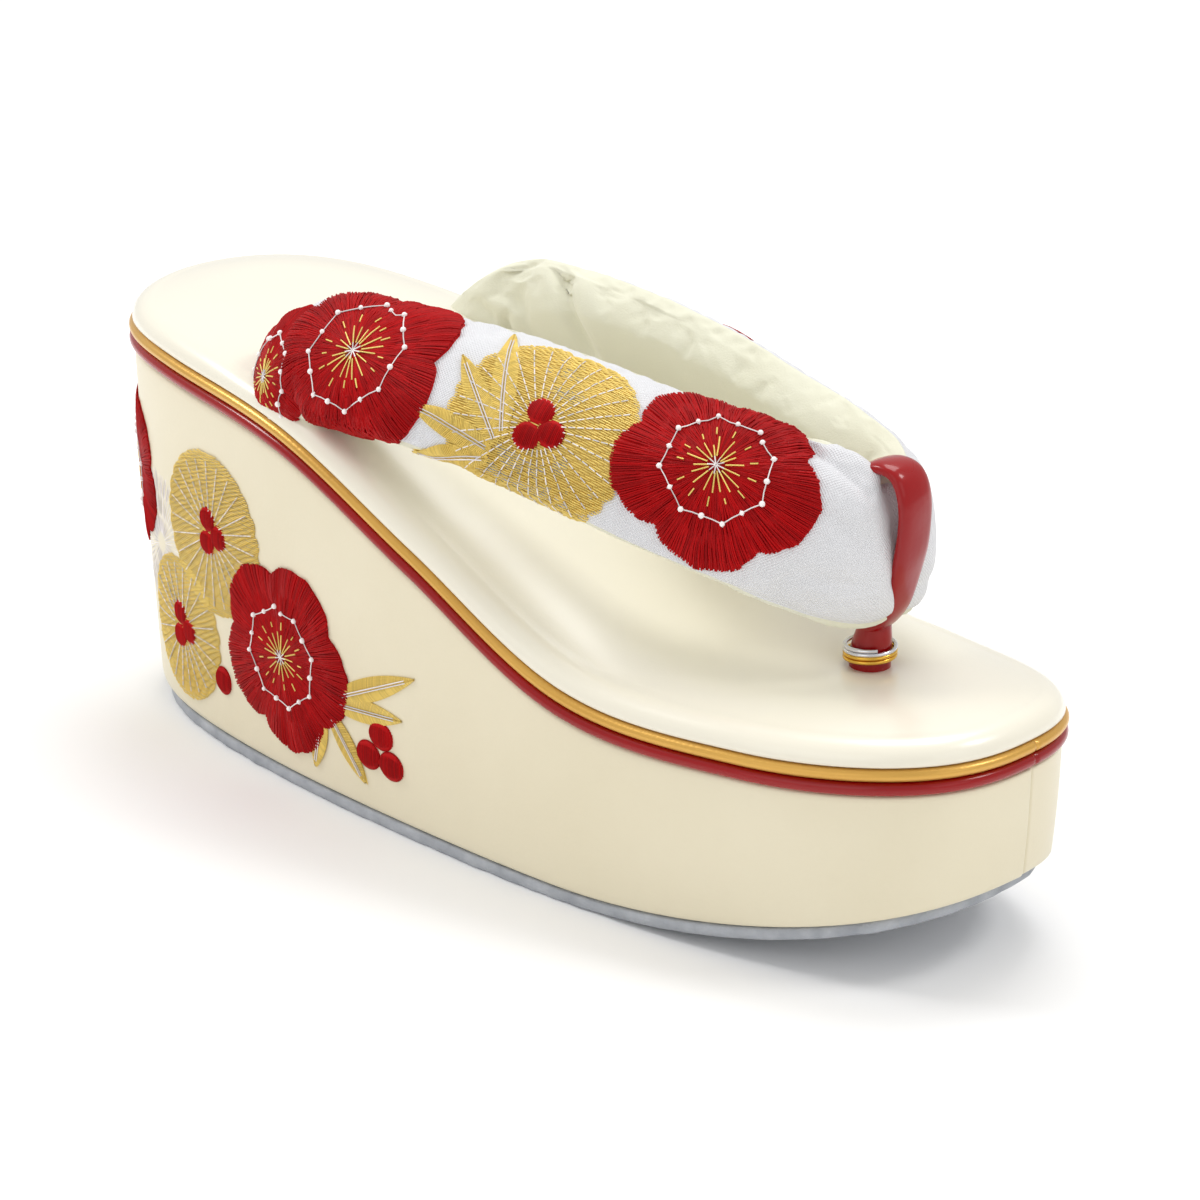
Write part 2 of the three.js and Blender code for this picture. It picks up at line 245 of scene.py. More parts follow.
def tidy_mesh(mesh: bpy.types.Mesh, weld: float = 1e-7) -> None:
    """Merges doubled points of a closed mesh and turns its faces outwards."""
    work = bmesh.new()
    work.from_mesh(mesh)
    bmesh.ops.remove_doubles(work, verts=work.verts, dist=weld)
    bmesh.ops.recalc_face_normals(work, faces=work.faces)
    work.to_mesh(mesh)
    work.free()


def applied(piece: bpy.types.Object) -> bpy.types.Object:
    """Turns a piece's modifiers into plain mesh and removes them."""
    bpy.context.view_layer.update()
    graph = bpy.context.evaluated_depsgraph_get()
    mesh = bpy.data.meshes.new_from_object(piece.evaluated_get(graph))
    piece.modifiers.clear()
    piece.data = mesh
    return piece


# ---- finishes -----------------------------------------------------------------------------------


class Relief(Enum):
    """The kinds of fine surface that the finishes have."""

    GRAIN = "leather grain"
    WEAVE = "woven cloth"
    NAP = "brushed cloth"
    THREAD = "thread"
    PEBBLE = "pebbled rubber"
    BRUSHED = "drawn wire"


def linear(tone: tuple[float, float, float]) -> tuple[float, float, float, float]:
    """Turns a display colour from 0 to 255 into a linear one with alpha."""
    parts = []
    for value in tone:
        share = value / 255
        low = share / 12.92
        high = ((share + 0.055) / 1.055) ** 2.4
        parts.append(low if share <= 0.04045 else high)
    return (*parts, 1.0)


class Wiring:
    """Places nodes in a tree and joins their sockets."""

    def __init__(self, tree: bpy.types.NodeTree) -> None:
        """Works on that tree."""
        self.tree = tree

    def add(self, kind: str, **settings: object) -> bpy.types.Node:
        """Adds a node.

        Args:
            kind: The node's type name.
            **settings: Properties of the node, or values of its inputs by their names.

        Returns:
            The new node.
        """
        node = self.tree.nodes.new(kind)
        for key, value in settings.items():
            if hasattr(node, key):
                setattr(node, key, value)
            else:
                node.inputs[key.replace("_", " ")].default_value = value
        return node

    def join(self, source: bpy.types.NodeSocket, target: bpy.types.NodeSocket) -> None:
        """Joins an output to an input."""
        self.tree.links.new(source, target)

    def maths(self, operation: str, *values: object) -> bpy.types.NodeSocket:
        """Adds a Math node.

        Args:
            operation: The sum to do.
            *values: Sockets or numbers, in the node's order.

        Returns:
            The node's output.
        """
        node = self.add("ShaderNodeMath", operation=operation)
        for number, value in enumerate(values):
            if isinstance(value, bpy.types.NodeSocket):
                self.join(value, node.inputs[number])
            else:
                node.inputs[number].default_value = value
        return node.outputs[0]

    def blend(self, share: object, first: object, second: object) -> bpy.types.NodeSocket:
        """Mixes two colours by a share and returns the mixed colour."""
        node = self.add("ShaderNodeMix", data_type="RGBA")
        for socket, value in zip((node.inputs[0], node.inputs[6], node.inputs[7]), (share, first, second)):
            if isinstance(value, bpy.types.NodeSocket):
                self.join(value, socket)
            else:
                socket.default_value = value
        return node.outputs[2]


class Effects:
    """The shared shader groups. Each is built once, with named inputs and outputs."""

    # Wide enough that the noise never runs flat at either end, which shows on glossy leather.
    mottle_reach = (0.1, 0.9)

    def __init__(self) -> None:
        """Builds the groups."""
        self.groups = {
            Relief.GRAIN: self.cells("leather_grain", smoothness=0.55, fine=0.25),
            Relief.PEBBLE: self.cells("rubber_pebble", smoothness=0.2, fine=0.5),
            Relief.WEAVE: self.weave(),
            Relief.NAP: self.fibres("brushed_nap", (1.0, 1.0, 1.0)),
            Relief.THREAD: self.fibres("thread_fibre", (1.0, 1.0, 1.0)),
            Relief.BRUSHED: self.fibres("drawn_wire", (1.0, 1.0, 6.0)),
        }
        self.mottle = self.make_mottle()

    @staticmethod
    def start(name: str) -> tuple[bpy.types.NodeTree, Wiring, bpy.types.Node, bpy.types.Node]:
        """Starts a group that takes Vector and Scale.

        Args:
            name: The group's name.

        Returns:
            The group, its wiring, and its input and output nodes.
        """
        group = bpy.data.node_groups.new(name, "ShaderNodeTree")
        group.interface.new_socket("Vector", in_out="INPUT", socket_type="NodeSocketVector")
        group.interface.new_socket("Scale", in_out="INPUT", socket_type="NodeSocketFloat")
        group.interface.new_socket("Height", in_out="OUTPUT", socket_type="NodeSocketFloat")
        wiring = Wiring(group)
        return group, wiring, wiring.add("NodeGroupInput"), wiring.add("NodeGroupOutput")

    def cells(self, name: str, smoothness: float, fine: float) -> bpy.types.NodeTree:
        """Makes a group of soft cells with a finer noise over them.

        Args:
            name: The group's name.
            smoothness: How much the cells run into each other.
            fine: The share of the finer noise.

        Returns:
            The group.
        """
        group, wiring, source, target = self.start(name)
        cell = wiring.add("ShaderNodeTexVoronoi", feature="SMOOTH_F1", Smoothness=smoothness)
        noise = wiring.add("ShaderNodeTexNoise", Detail=3.0)
        for texture, times in ((cell, 1.0), (noise, 2.3)):
            wiring.join(source.outputs["Vector"], texture.inputs["Vector"])
            scale = wiring.maths("MULTIPLY", source.outputs["Scale"], times)
            wiring.join(scale, texture.inputs["Scale"])
        part = wiring.maths("MULTIPLY", noise.outputs[0], fine)
        total = wiring.maths("ADD", cell.outputs["Distance"], part)
        wiring.join(total, target.inputs["Height"])
        return group

    def weave(self) -> bpy.types.NodeTree:
        """Makes a group of over-and-under threads with uneven yarn, and returns it."""
        group, wiring, source, target = self.start("cloth_weave")
        noise = wiring.add("ShaderNodeTexNoise", Scale=60.0, Detail=2.0)
        wiring.join(source.outputs["Vector"], noise.inputs["Vector"])
        parts = wiring.add("ShaderNodeSeparateXYZ")
        wiring.join(source.outputs["Vector"], parts.inputs[0])
        waves = []
        for axis in (0, 1):
            wander = wiring.maths("MULTIPLY", noise.outputs[0], 1.6)
            turns = wiring.maths("MULTIPLY", parts.outputs[axis], source.outputs["Scale"])
            waves.append(wiring.maths("SINE", wiring.maths("ADD", turns, wander)))
        product = wiring.maths("MULTIPLY", *waves)
        half = wiring.maths("MULTIPLY_ADD", product, 0.5, 0.5)
        uneven = wiring.maths("MULTIPLY_ADD", noise.outputs[0], 0.35, half)
        wiring.join(uneven, target.inputs["Height"])
        return group

    def fibres(self, name: str, stretch: tuple[float, float, float]) -> bpy.types.NodeTree:
        """Makes a group of fine fibres.

        Args:
            name: The group's name.
            stretch: How much finer the fibres lie along each axis.

        Returns:
            The group.
        """
        group, wiring, source, target = self.start(name)
        mapping = wiring.add("ShaderNodeMapping", Scale=stretch)
        wiring.join(source.outputs["Vector"], mapping.inputs["Vector"])
        noise = wiring.add("ShaderNodeTexNoise", Detail=4.0, Roughness=0.65)
        wiring.join(mapping.outputs[0], noise.inputs["Vector"])
        wiring.join(source.outputs["Scale"], noise.inputs["Scale"])
        wiring.join(noise.outputs[0], target.inputs["Height"])
        return group

    def make_mottle(self) -> bpy.types.NodeTree:
        """Makes a group of slow unevenness from 0 to 1 and returns it."""
        group, wiring, source, target = self.start("mottle")
        noise = wiring.add("ShaderNodeTexNoise", Detail=2.0, Roughness=0.4)
        wiring.join(source.outputs["Vector"], noise.inputs["Vector"])
        wiring.join(source.outputs["Scale"], noise.inputs["Scale"])
        spread = wiring.add("ShaderNodeMapRange")
        wiring.join(noise.outputs[0], spread.inputs["Value"])
        for end, value in zip(("From Min", "From Max"), self.mottle_reach):
            spread.inputs[end].default_value = value
        wiring.join(spread.outputs[0], target.inputs["Height"])
        return group


@dataclass(frozen=True)
class Finish:
    """One finish of the shoe. Tones are display colours from 0 to 255."""

    name: str
    tone: tuple[float, float, float]
    accent: tuple[float, float, float]
    relief: Relief
    relief_scale: float
    relief_depth: float
    roughness: float
    rough_swing: float = 0.06
    mottle_scale: float = 40.0
    metallic: float = 0.0
    coat: float = 0.0
    coat_roughness: float = 0.1
    sheen: float = 0.0
    specular: float = 0.5
    by_uv: bool = False
    toned_threads: bool = False
    tone_share: float = 0.55

    def material(self, effects: Effects) -> bpy.types.Material:
        """Builds the finish's material.

        Args:
            effects: The shared shader groups.

        Returns:
            The material.
        """
        material = bpy.data.materials.new(self.name)
        material.use_nodes = True
        wiring = Wiring(material.node_tree)
        shader = material.node_tree.nodes["Principled BSDF"]
        shader.inputs["Metallic"].default_value = self.metallic
        shader.inputs["Coat Weight"].default_value = self.coat
        shader.inputs["Coat Roughness"].default_value = self.coat_roughness
        shader.inputs["Sheen Weight"].default_value = self.sheen
        shader.inputs["Specular IOR Level"].default_value = self.specular
        place = wiring.add("ShaderNodeTexCoord")
        mottle = self.effect(wiring, effects.mottle, place.outputs["Object"], self.mottle_scale)
        own_place = place.outputs["UV" if self.by_uv else "Object"]
        height = self.effect(wiring, effects.groups[self.relief], own_place, self.relief_scale)
        color = wiring.blend(mottle, linear(self.tone), linear(self.accent))
        if self.toned_threads:
            tone = wiring.add("ShaderNodeAttribute", attribute_name="tone")
            dark = wiring.maths("MULTIPLY", tone.outputs["Fac"], self.tone_share)
            color = wiring.blend(dark, color, linear(tuple(0.62 * value for value in self.accent)))
        wiring.join(color, shader.inputs["Base Color"])
        rough = wiring.maths("MULTIPLY_ADD", mottle, self.rough_swing, self.roughness)
        wiring.join(rough, shader.inputs["Roughness"])
        bump = wiring.add("ShaderNodeBump", Distance=self.relief_depth * MM)
        wiring.join(height, bump.inputs["Height"])
        wiring.join(bump.outputs[0], shader.inputs["Normal"])
        return material

    @staticmethod
    def effect(
        wiring: Wiring, group: bpy.types.NodeTree, place: bpy.types.NodeSocket, scale: float
    ) -> bpy.types.NodeSocket:
        """Places a shared group in the material and returns its height."""
        node = wiring.add("ShaderNodeGroup", node_tree=group)
        wiring.join(place, node.inputs["Vector"])
        node.inputs["Scale"].default_value = scale
        return node.outputs["Height"]


COVER = Finish("cream_cover_leather", (228, 219, 193), (222, 212, 184), Relief.GRAIN, 1100.0, 0.03,
               0.36, coat=0.15, coat_roughness=0.3, specular=0.35)
PEARL = Finish("pearl_insole_leather", (236, 231, 214), (235, 229, 211), Relief.GRAIN, 1400.0, 0.010,
               0.27, rough_swing=0.02, coat=0.7, coat_roughness=0.25)
RED_ENAMEL = Finish("red_enamel", (156, 3, 7), (138, 2, 5), Relief.GRAIN, 700.0, 0.02,
                    0.25, coat=0.4, coat_roughness=0.04, specular=0.2)
GOLD_PIPE = Finish("gold_piping_leather", (222, 174, 84), (204, 154, 66), Relief.GRAIN, 1600.0, 0.03,
                   0.3, metallic=0.5, coat=0.2)
CLOTH = Finish("white_strap_cloth", (228, 228, 230), (220, 220, 223), Relief.WEAVE, 900.0, 0.16,
               0.55, sheen=0.2, by_uv=True, specular=0.4)
LINING = Finish("cream_strap_lining", (228, 227, 208), (221, 219, 196), Relief.NAP, 2600.0, 0.10,
                0.9, sheen=0.3, specular=0.2)
RUBBER = Finish("grey_outsole_rubber", (184, 187, 192), (144, 148, 155), Relief.PEBBLE, 1500.0, 0.12,
                0.75, mottle_scale=260.0, specular=0.3)
GOLD_WIRE = Finish("gold_wire", (236, 190, 88), (220, 170, 66), Relief.BRUSHED, 900.0, 0.01,
                   0.18, metallic=1.0)
SILVER_WIRE = Finish("silver_wire", (232, 232, 236), (212, 212, 218), Relief.BRUSHED, 900.0, 0.01,
                     0.18, metallic=1.0)
RED_THREAD = Finish("red_thread", (196, 4, 10), (164, 2, 6), Relief.THREAD, 2400.0, 0.05,
                    0.5, specular=0.14, toned_threads=True)
GOLD_THREAD = Finish("gold_thread", (248, 220, 124), (234, 200, 96), Relief.THREAD, 2400.0, 0.05,
                     0.36, metallic=0.25, toned_threads=True, tone_share=0.3)
WHITE_THREAD = Finish("white_thread", (252, 249, 246), (242, 234, 232), Relief.THREAD, 2400.0, 0.04,
                      0.5, toned_threads=True)
FLOOR = Finish("studio_floor", (250, 250, 250), (247, 247, 247), Relief.NAP, 60.0, 0.05,
               0.8, mottle_scale=2.0, specular=0.1)


# ---- the last -----------------------------------------------------------------------------------


@dataclass(frozen=True)
class Last:
    """The form that every layer of the sole is made on."""

    half_length: float = 120.0
    middle: float = 41.3
    lean: float = -1.8
    barrel: float = 0.9
    heel_flare: float = 8.5
    end_flare: float = 15.2
    power: float = 2.32
    heel_root: float = 1.92
    toe_root: float = 2.47
    bend_from: float = 30.0
    heel_bend: float = 5.5
    toe_bend: float = 2.4
    top_heights: tuple[float, ...] = (47.2, 44.5, 46.8, 64.9, 81.0, 86.0, 86.9)
    wall_lean: tuple[float, float, float] = (0.9, 2.8, 4.5)
    wall_lean_from: float = 40.0
    spring_from: float = -35.0
    spring_rise: float = 16.3
    side_points: int = 230
    seam_y: float = -119.98
    seam_reach: float = 0.05
    seam_points: int = 31

    def top_line(self, y: np.ndarray) -> np.ndarray:
        """Returns the height of the line between insole and piping."""
        spacing = 2 * self.half_length / (len(self.top_heights) - 1)
        return through(np.array(self.top_heights), (np.asarray(y) + self.half_length) / spacing)

    def slope_factor(self, y: np.ndarray) -> np.ndarray:
        """Returns how much longer a layer stands when it is measured upright on the slope."""
        return np.hypot(1.0, self.top_line(y + 0.5) - self.top_line(y - 0.5))

    def floor_line(self, y: np.ndarray) -> np.ndarray:
        """Returns the height of the sole's underside."""
        past = np.maximum(0.0, self.spring_from - y) / (self.spring_from + self.half_length)
        return self.spring_rise * past**2

    def towards_end(self, distance: np.ndarray, start: float) -> np.ndarray:
        """Returns 0 up to start, and from there a smooth rise to 1 at the shoe's end."""
        return np.maximum(0.0, (distance - start) / (self.half_length - start)) ** 2

    def half_width(self, y: np.ndarray) -> np.ndarray:
        """Returns half the sole's width."""
        u = y / self.half_length
        root = np.where(u > 0, self.heel_root, self.toe_root)
        cap = np.maximum(0.0, 1 - np.abs(u) ** self.power) ** (1 / root)
        flare = self.barrel * u**2 + self.heel_flare * u**3 + self.end_flare * u**4
        return cap * (self.middle + self.lean * u + flare)

    def middle_line(self, y: np.ndarray) -> np.ndarray:
        """Returns the sole's middle, which swings to the big-toe side at both ends."""
        heel = self.heel_bend * self.towards_end(y, self.bend_from)
        return heel + self.toe_bend * self.towards_end(-y, self.bend_from)

    def lean_of_wall(self, y: np.ndarray) -> np.ndarray:
        """Returns how far the wall leans in from the piping down to the floor."""
        toe, side, heel = self.wall_lean
        at_toe = (toe - side) * self.towards_end(-y, self.wall_lean_from)
        return side + at_toe + (heel - side) * self.towards_end(y, self.wall_lean_from)


class Rim:
    """The last's outline as points, from the heel along the big-toe side and back."""

    def __init__(self, last: Last) -> None:
        """Works out the points, closer together at the cover's seam."""
        self.last = last
        seam = math.acos(last.seam_y / last.half_length)
        even = np.linspace(0.0, math.pi, last.side_points + 1)
        close = np.linspace(seam - last.seam_reach, math.pi, last.seam_points)
        angles = np.concatenate([even[even < close[0] - 0.3 * (even[1] - even[0])], close])
        side = np.concatenate([np.ones(len(angles)), -np.ones(len(angles) - 2)])
        angles = np.concatenate([angles, angles[-2:0:-1]])
        y = last.half_length * np.cos(angles)
        self.angles = angles
        self.xy = np.stack([last.middle_line(y) + side * last.half_width(y), y], axis=1)
        before = self.xy - np.roll(self.xy, 1, axis=0)
        after = np.roll(self.xy, -1, axis=0) - self.xy
        near = np.linalg.norm(before, axis=1, keepdims=True)
        far = np.linalg.norm(after, axis=1, keepdims=True)
        along = unit(before / near * far + after / far * near)
        self.outward = np.stack([-along[:, 1], along[:, 0]], axis=1)
        self.count = len(self.xy)
        self.arc = arc_lengths(np.vstack([self.xy, self.xy[:1]]))
        self.seam_arc = self.arc[int(np.argmin(np.abs(angles[: self.count // 2] - seam)))]

    def ring(self, offset: Curve | float, height: Curve, push: np.ndarray | float = 0.0) -> np.ndarray:
        """Returns one ring of the outline.

        Args:
            offset: How far outwards it is moved, by the outline's y.
            height: Its height, by the moved point's y.
            push: A further move outwards for each point, which leaves the height as it is.

        Returns:
            The ring's points.
        """
        far = offset(self.xy[:, 1]) if callable(offset) else offset
        moved = self.xy + self.outward * np.broadcast_to(far, self.count)[:, None]
        z = height(moved[:, 1])
        moved = moved + self.outward * np.broadcast_to(push, self.count)[:, None]
        return np.column_stack([moved, z])

    def from_seam(self) -> np.ndarray:
        """Returns each point's distance past the cover's seam, along the outline."""
        return self.arc[:-1] - self.seam_arc

    def flat_uv(self, rows: np.ndarray) -> np.ndarray:
        """Returns UVs for rings at the given distances, in decimetres."""
        u, v = np.meshgrid(self.arc, rows)
        return np.stack([u, v], axis=-1) / 100


# ---- patches that embroidery is laid on -----------------------------------------------------------


@dataclass(frozen=True)
class Patch:
    """A stretch of surface with even coordinates in millimetres along and across it."""

    points: np.ndarray
    normals: np.ndarray
    first: tuple[float, float]
    step: tuple[float, float]

    def place(self, spots: np.ndarray, lift: np.ndarray | float = 0.0) -> np.ndarray:
        """Finds where spots of the patch are.

        Args:
            spots: Coordinates on the patch, in an array whose last axis is along, across.
            lift: How far above the surface each spot is.

        Returns:
            The points, in an array of the same shape with x, y, z.
        """
        rows, columns = self.points.shape[:2]
        u = np.clip((spots[..., 0] - self.first[0]) / self.step[0], 0, rows - 1.001)
        v = np.clip((spots[..., 1] - self.first[1]) / self.step[1], 0, columns - 1.001)
        i, j = u.astype(int), v.astype(int)
        s, t = (u - i)[..., None], (v - j)[..., None]

        def read(values: np.ndarray) -> np.ndarray:
            """Reads values between the patch's points."""
            low = values[i, j] * (1 - t) + values[i, j + 1] * t
            high = values[i + 1, j] * (1 - t) + values[i + 1, j + 1] * t
            return low * (1 - s) + high * s

        return read(self.points) + unit(read(self.normals)) * np.asarray(lift)[..., None]


# ---- sole -------------------------------------------------------------------------------------------


@dataclass
class Sole:
    """Outsole, covered wedge, two pipings and insole, all made on the last."""

    last: Last
    rim: Rim
    gap: float = 0.3
    outsole_thickness: float = 2.7
    outsole_inset: tuple[float, float] = (0.2, 3.2)
    outsole_ends_from: float = 70.0
    gold_height: float = 2.6
    red_height: float = 2.9
    piping_depth: float = 4.2
    piping_bulge: float = 0.8
    piping_round: float = 1.5
    insole_radius: float = 5.5
    insole_edge: float = 4.5
    insole_lift: float = 0.45
    crown: float = 1.5
    crown_reach: float = 14.0
    ring_reach: float = 5.5
    seam_step: float = 0.45
    seam_fade: float = 7.0
    thong_place: tuple[float, float] = (6.3, -78.6)
    thong_dips: tuple[tuple[float, float], ...] = ((0.7, 9.0), (0.8, 4.5))
    strap_ends: tuple[tuple[float, float], ...] = ((-29.0, 52.0), (30.0, 52.0))
    strap_dip: tuple[float, float] = (0.9, 10.0)

    def insole_rise(self, inset: float) -> float:
        """Returns the height of the insole's skin above the top line, that far in."""
        across = min(1.0, inset / self.insole_radius)
        edge = self.insole_edge * math.sqrt(1 - (1 - across) ** 2)
        past = min(1.0, max(0.0, inset - self.insole_radius) / self.crown_reach)
        return edge + self.crown * (1 - (1 - past) ** 2)

    def foot_of_wall(self, y: np.ndarray) -> np.ndarray:
        """Returns the height of the wall's foot."""
        return self.last.floor_line(y) + self.outsole_thickness + self.gap / 3

    def shoulder(self, y: np.ndarray) -> np.ndarray:
        """Returns the height at which the cover tucks in under the piping."""
        layers = (self.gold_height + self.red_height) * self.last.slope_factor(y)
        return self.last.top_line(y) - layers

    def seam_push(self) -> np.ndarray:
        """Returns how far the lapped edge of the cover stands out along the outline."""
        past = self.rim.from_seam()
        lap = np.where(past > 0, self.seam_step * np.exp(-np.maximum(past, 0) / self.seam_fade), 0.0)
        return lap - self.seam_step * hill(past - 0.1, 0.5)

    def wall_rows(self) -> list[tuple[float, float]]:
        """Returns the wall's rows as shares of its height and insets from its plane."""
        rows = [(0.0, 2.6), (0.0, 1.1), (0.006, 0.55), (0.014, 0.2), (0.03, 0.0)]
        rows += [(share, -0.25 * math.sin(math.pi * share)) for share in np.linspace(0.07, 0.97, 34)]
        rows += [(0.985, 0.15), (0.995, 0.6), (1.0, 1.4)]
        return rows

    def make_wedge(self, finish: bpy.types.Material) -> bpy.types.Object:
        """Makes the wedge's cover, closed over its platform, and returns it."""
        maker = MeshMaker("wedge_cover")
        push = self.seam_push()
        y = self.rim.xy[:, 1]
        rings = []
        for share, inset in self.wall_rows():
            out = -(1 - share) * self.last.lean_of_wall(y) - share * self.gap - inset
            edge = push if inset < 1 else 0.0

            def height(place: np.ndarray, share: float = share) -> np.ndarray:
                """Returns the row's height."""
                return (1 - share) * self.foot_of_wall(place) + share * self.shoulder(place)

            rings.append(self.rim.ring(lambda _, out=out: out, height, edge))
        step = -self.piping_depth - self.gap
        rings.append(self.rim.ring(step, self.shoulder))
        rings.append(self.rim.ring(step, lambda place: self.last.top_line(place) - self.gap / 2))
        uv = self.rim.flat_uv(np.linspace(0, 60, len(rings)))
        start = maker.add_grid(np.array(rings), uv)
        maker.add_ladder(start, self.rim.count)
        maker.add_ladder(start + (len(rings) - 1) * self.rim.count, self.rim.count)
        return maker.build([finish])

    def wall_patch(self, reach: tuple[float, float], step: float = 1.0) -> Patch:
        """Makes the patch on the wall that embroidery is laid on.

        Args:
            reach: Where it starts and ends, as lengths along the outline from the heel's back,
                positive along the little-toe side.
            step: The distance between the patch's points.

        Returns:
            The patch, whose second coordinate is the height above the floor.
        """
        y = self.rim.xy[:, 1]
        low = self.rim.ring(lambda place: -self.last.lean_of_wall(place), self.foot_of_wall)
        high = self.rim.ring(-self.gap, self.shoulder)
        total = self.rim.arc[-1]
        arc = total - self.rim.arc[:-1]
        arc = np.where(arc > total / 2, arc - total, arc)
        order = np.argsort(arc)
        along = np.arange(reach[0], reach[1] + step, step)

        def sampled(ring: np.ndarray) -> np.ndarray:
            """Reads a ring at even lengths."""
            return np.stack([np.interp(along, arc[order], ring[order, k]) for k in range(3)], axis=1)

        foot, top = sampled(low), sampled(high)
        heights = np.arange(0.0, self.last.top_line(y).max(), step)
        share = (heights[None, :] - foot[:, 2:3]) / (top[:, 2:3] - foot[:, 2:3])
        points = foot[:, None] + (top - foot)[:, None] * share[..., None]
        points[..., 2] = heights[None, :]
        runs = np.gradient(points, axis=0)
        climbs = np.gradient(points, axis=1)
        normals = unit(np.cross(climbs, runs))
        away = points[..., :2] - np.array([self.last.middle_line(np.array(0.0)), 0.0])
        turned = np.sum(normals[..., :2] * away, axis=-1) < 0
        normals = np.where(turned[..., None], -normals, normals)
        return Patch(points, normals, (float(along[0]), 0.0), (step, step))

    def make_piping(
        self, name: str, above: float, thickness: float, finish: bpy.types.Material
    ) -> bpy.types.Object:
        """Makes one piping, a rounded strip round the whole shoe with a butt joint.

        Args:
            name: The piece's name.
            above: How far under the top line its top lies.
            thickness: Its height.
            finish: Its material.

        Returns:
            The piece.
        """
        half = thickness / 2
        section = [(-self.piping_depth, self.gap / 2), (-self.piping_depth, thickness - self.gap / 2)]
        for angle in np.linspace(math.pi / 2, -math.pi / 2, 13):
            out = self.piping_bulge - self.piping_round * (1 - math.cos(angle))
            section.append((out, half + (half - self.gap / 6) * math.sin(angle)))
        joint = -0.35 * hill(self.rim.from_seam(), 0.45)
        rings = []
        for out, down in section:

            def height(y: np.ndarray, down: float = down) -> np.ndarray:
                """Returns the height of this line of the strip."""
                return self.last.top_line(y) - (above + down) * self.last.slope_factor(y)

            rings.append(self.rim.ring(out, height, joint if out > -self.piping_depth else 0.0))
        rings.append(rings[0])
        maker = MeshMaker(name)
        maker.add_grid(np.array(rings), self.rim.flat_uv(np.linspace(0, 10, len(rings))))
        return maker.build([finish])

    def sag(self, points: np.ndarray) -> np.ndarray:
        """Returns how far the insole is pressed down at each point."""
        from_thong = np.hypot(points[..., 0] - self.thong_place[0], points[..., 1] - self.thong_place[1])
        press = sum(depth * hill(from_thong, width) for depth, width in self.thong_dips)
        depth, width = self.strap_dip
        for x, y in self.strap_ends:
            away = np.hypot((points[..., 0] - x) * 1.3, points[..., 1] - y)
            press = press + depth * hill(away, width)
        return press

    def make_insole(self, finish: bpy.types.Material) -> bpy.types.Object:
        """Makes the padded insole, dipped where the thong and the strap press on it, and returns it."""
        maker = MeshMaker("insole_pad")
        lift = self.insole_lift

        def top(rise: float) -> Curve:
            """Returns the height of a line of the skin."""
            return lambda y: self.last.top_line(y) + rise

        rings = [self.rim.ring(-0.4, top(self.gap / 2)), self.rim.ring(0.0, top(lift))]
        insets = self.insole_radius * (1 - np.cos(np.linspace(0.0, math.pi / 2, 14)[1:]))
        for inset in insets:
            rings.append(self.rim.ring(-inset, top(lift + self.insole_rise(inset))))
        edge = rings[-1][:, :2]
        spine_y = 0.76 * self.last.half_length * np.cos(self.rim.angles)
        spine = np.column_stack([self.last.middle_line(spine_y), spine_y])
        for share in np.linspace(0.0, 1.0, 30)[1:]:
            xy = edge * (1 - share) + spine * share
            inset = self.ring_reach + np.linalg.norm(xy - edge, axis=1)
            rise = np.array([self.insole_rise(value) for value in inset])
            rings.append(np.column_stack([xy, self.last.top_line(xy[:, 1]) + lift + rise]))
        grid = np.array(rings)
        grid[2:, :, 2] -= self.sag(grid[2:])
        start = maker.add_grid(grid, self.rim.flat_uv(np.linspace(0, 60, len(rings))))
        maker.add_ladder(start, self.rim.count)
        return maker.build([finish])

    def make_outsole(self, finish: bpy.types.Material) -> bpy.types.Object:
        """Makes the rubber sheet under the shoe, with a worn edge, and returns it."""
        maker = MeshMaker("outsole_sheet")
        side, end = self.outsole_inset
        y = self.rim.xy[:, 1]
        ends = self.last.towards_end(np.abs(y), self.outsole_ends_from)
        base = -self.last.lean_of_wall(y) - side - (end - side) * ends
        thick = self.outsole_thickness
        rng = np.random.default_rng(SEED)
        fray = np.interp(self.rim.arc[:-1], np.arange(0, self.rim.arc[-1] + 3, 3),
                         rng.normal(0, 0.12, len(np.arange(0, self.rim.arc[-1] + 3, 3))))
        rows = [(-2.0, 0.0), (-0.9, 0.0), (-0.3, 0.15), (0.0, 0.6), (0.12, thick * 0.5),
                (0.0, thick - 0.4), (-0.3, thick - 0.1), (-1.2, thick), (-3.0, thick)]
        rings = []
        for out, up in rows:
            wear = fray if -1 < out else 0.0
            rings.append(self.rim.ring(lambda _, out=out: base + out,
                                       lambda place, up=up: self.last.floor_line(place) + up, wear))
        start = maker.add_grid(np.array(rings), self.rim.flat_uv(np.linspace(0, 10, len(rings))))
        maker.add_ladder(start, self.rim.count)
        maker.add_ladder(start + (len(rings) - 1) * self.rim.count, self.rim.count)
        return maker.build([finish])


# ---- strap ------------------------------------------------------------------------------------------


@dataclass(frozen=True)
class Section:
    """One section of the strap: the band's middle, its tilt and its padded size."""

    x: float
    y: float
    rise: float
    lean: float
    width: float
    out: float
    inn: float

    def values(self) -> list[float]:
        """Returns the columns as a list."""
        return [self.x, self.y, self.rise, self.lean, self.width, self.out, self.inn]


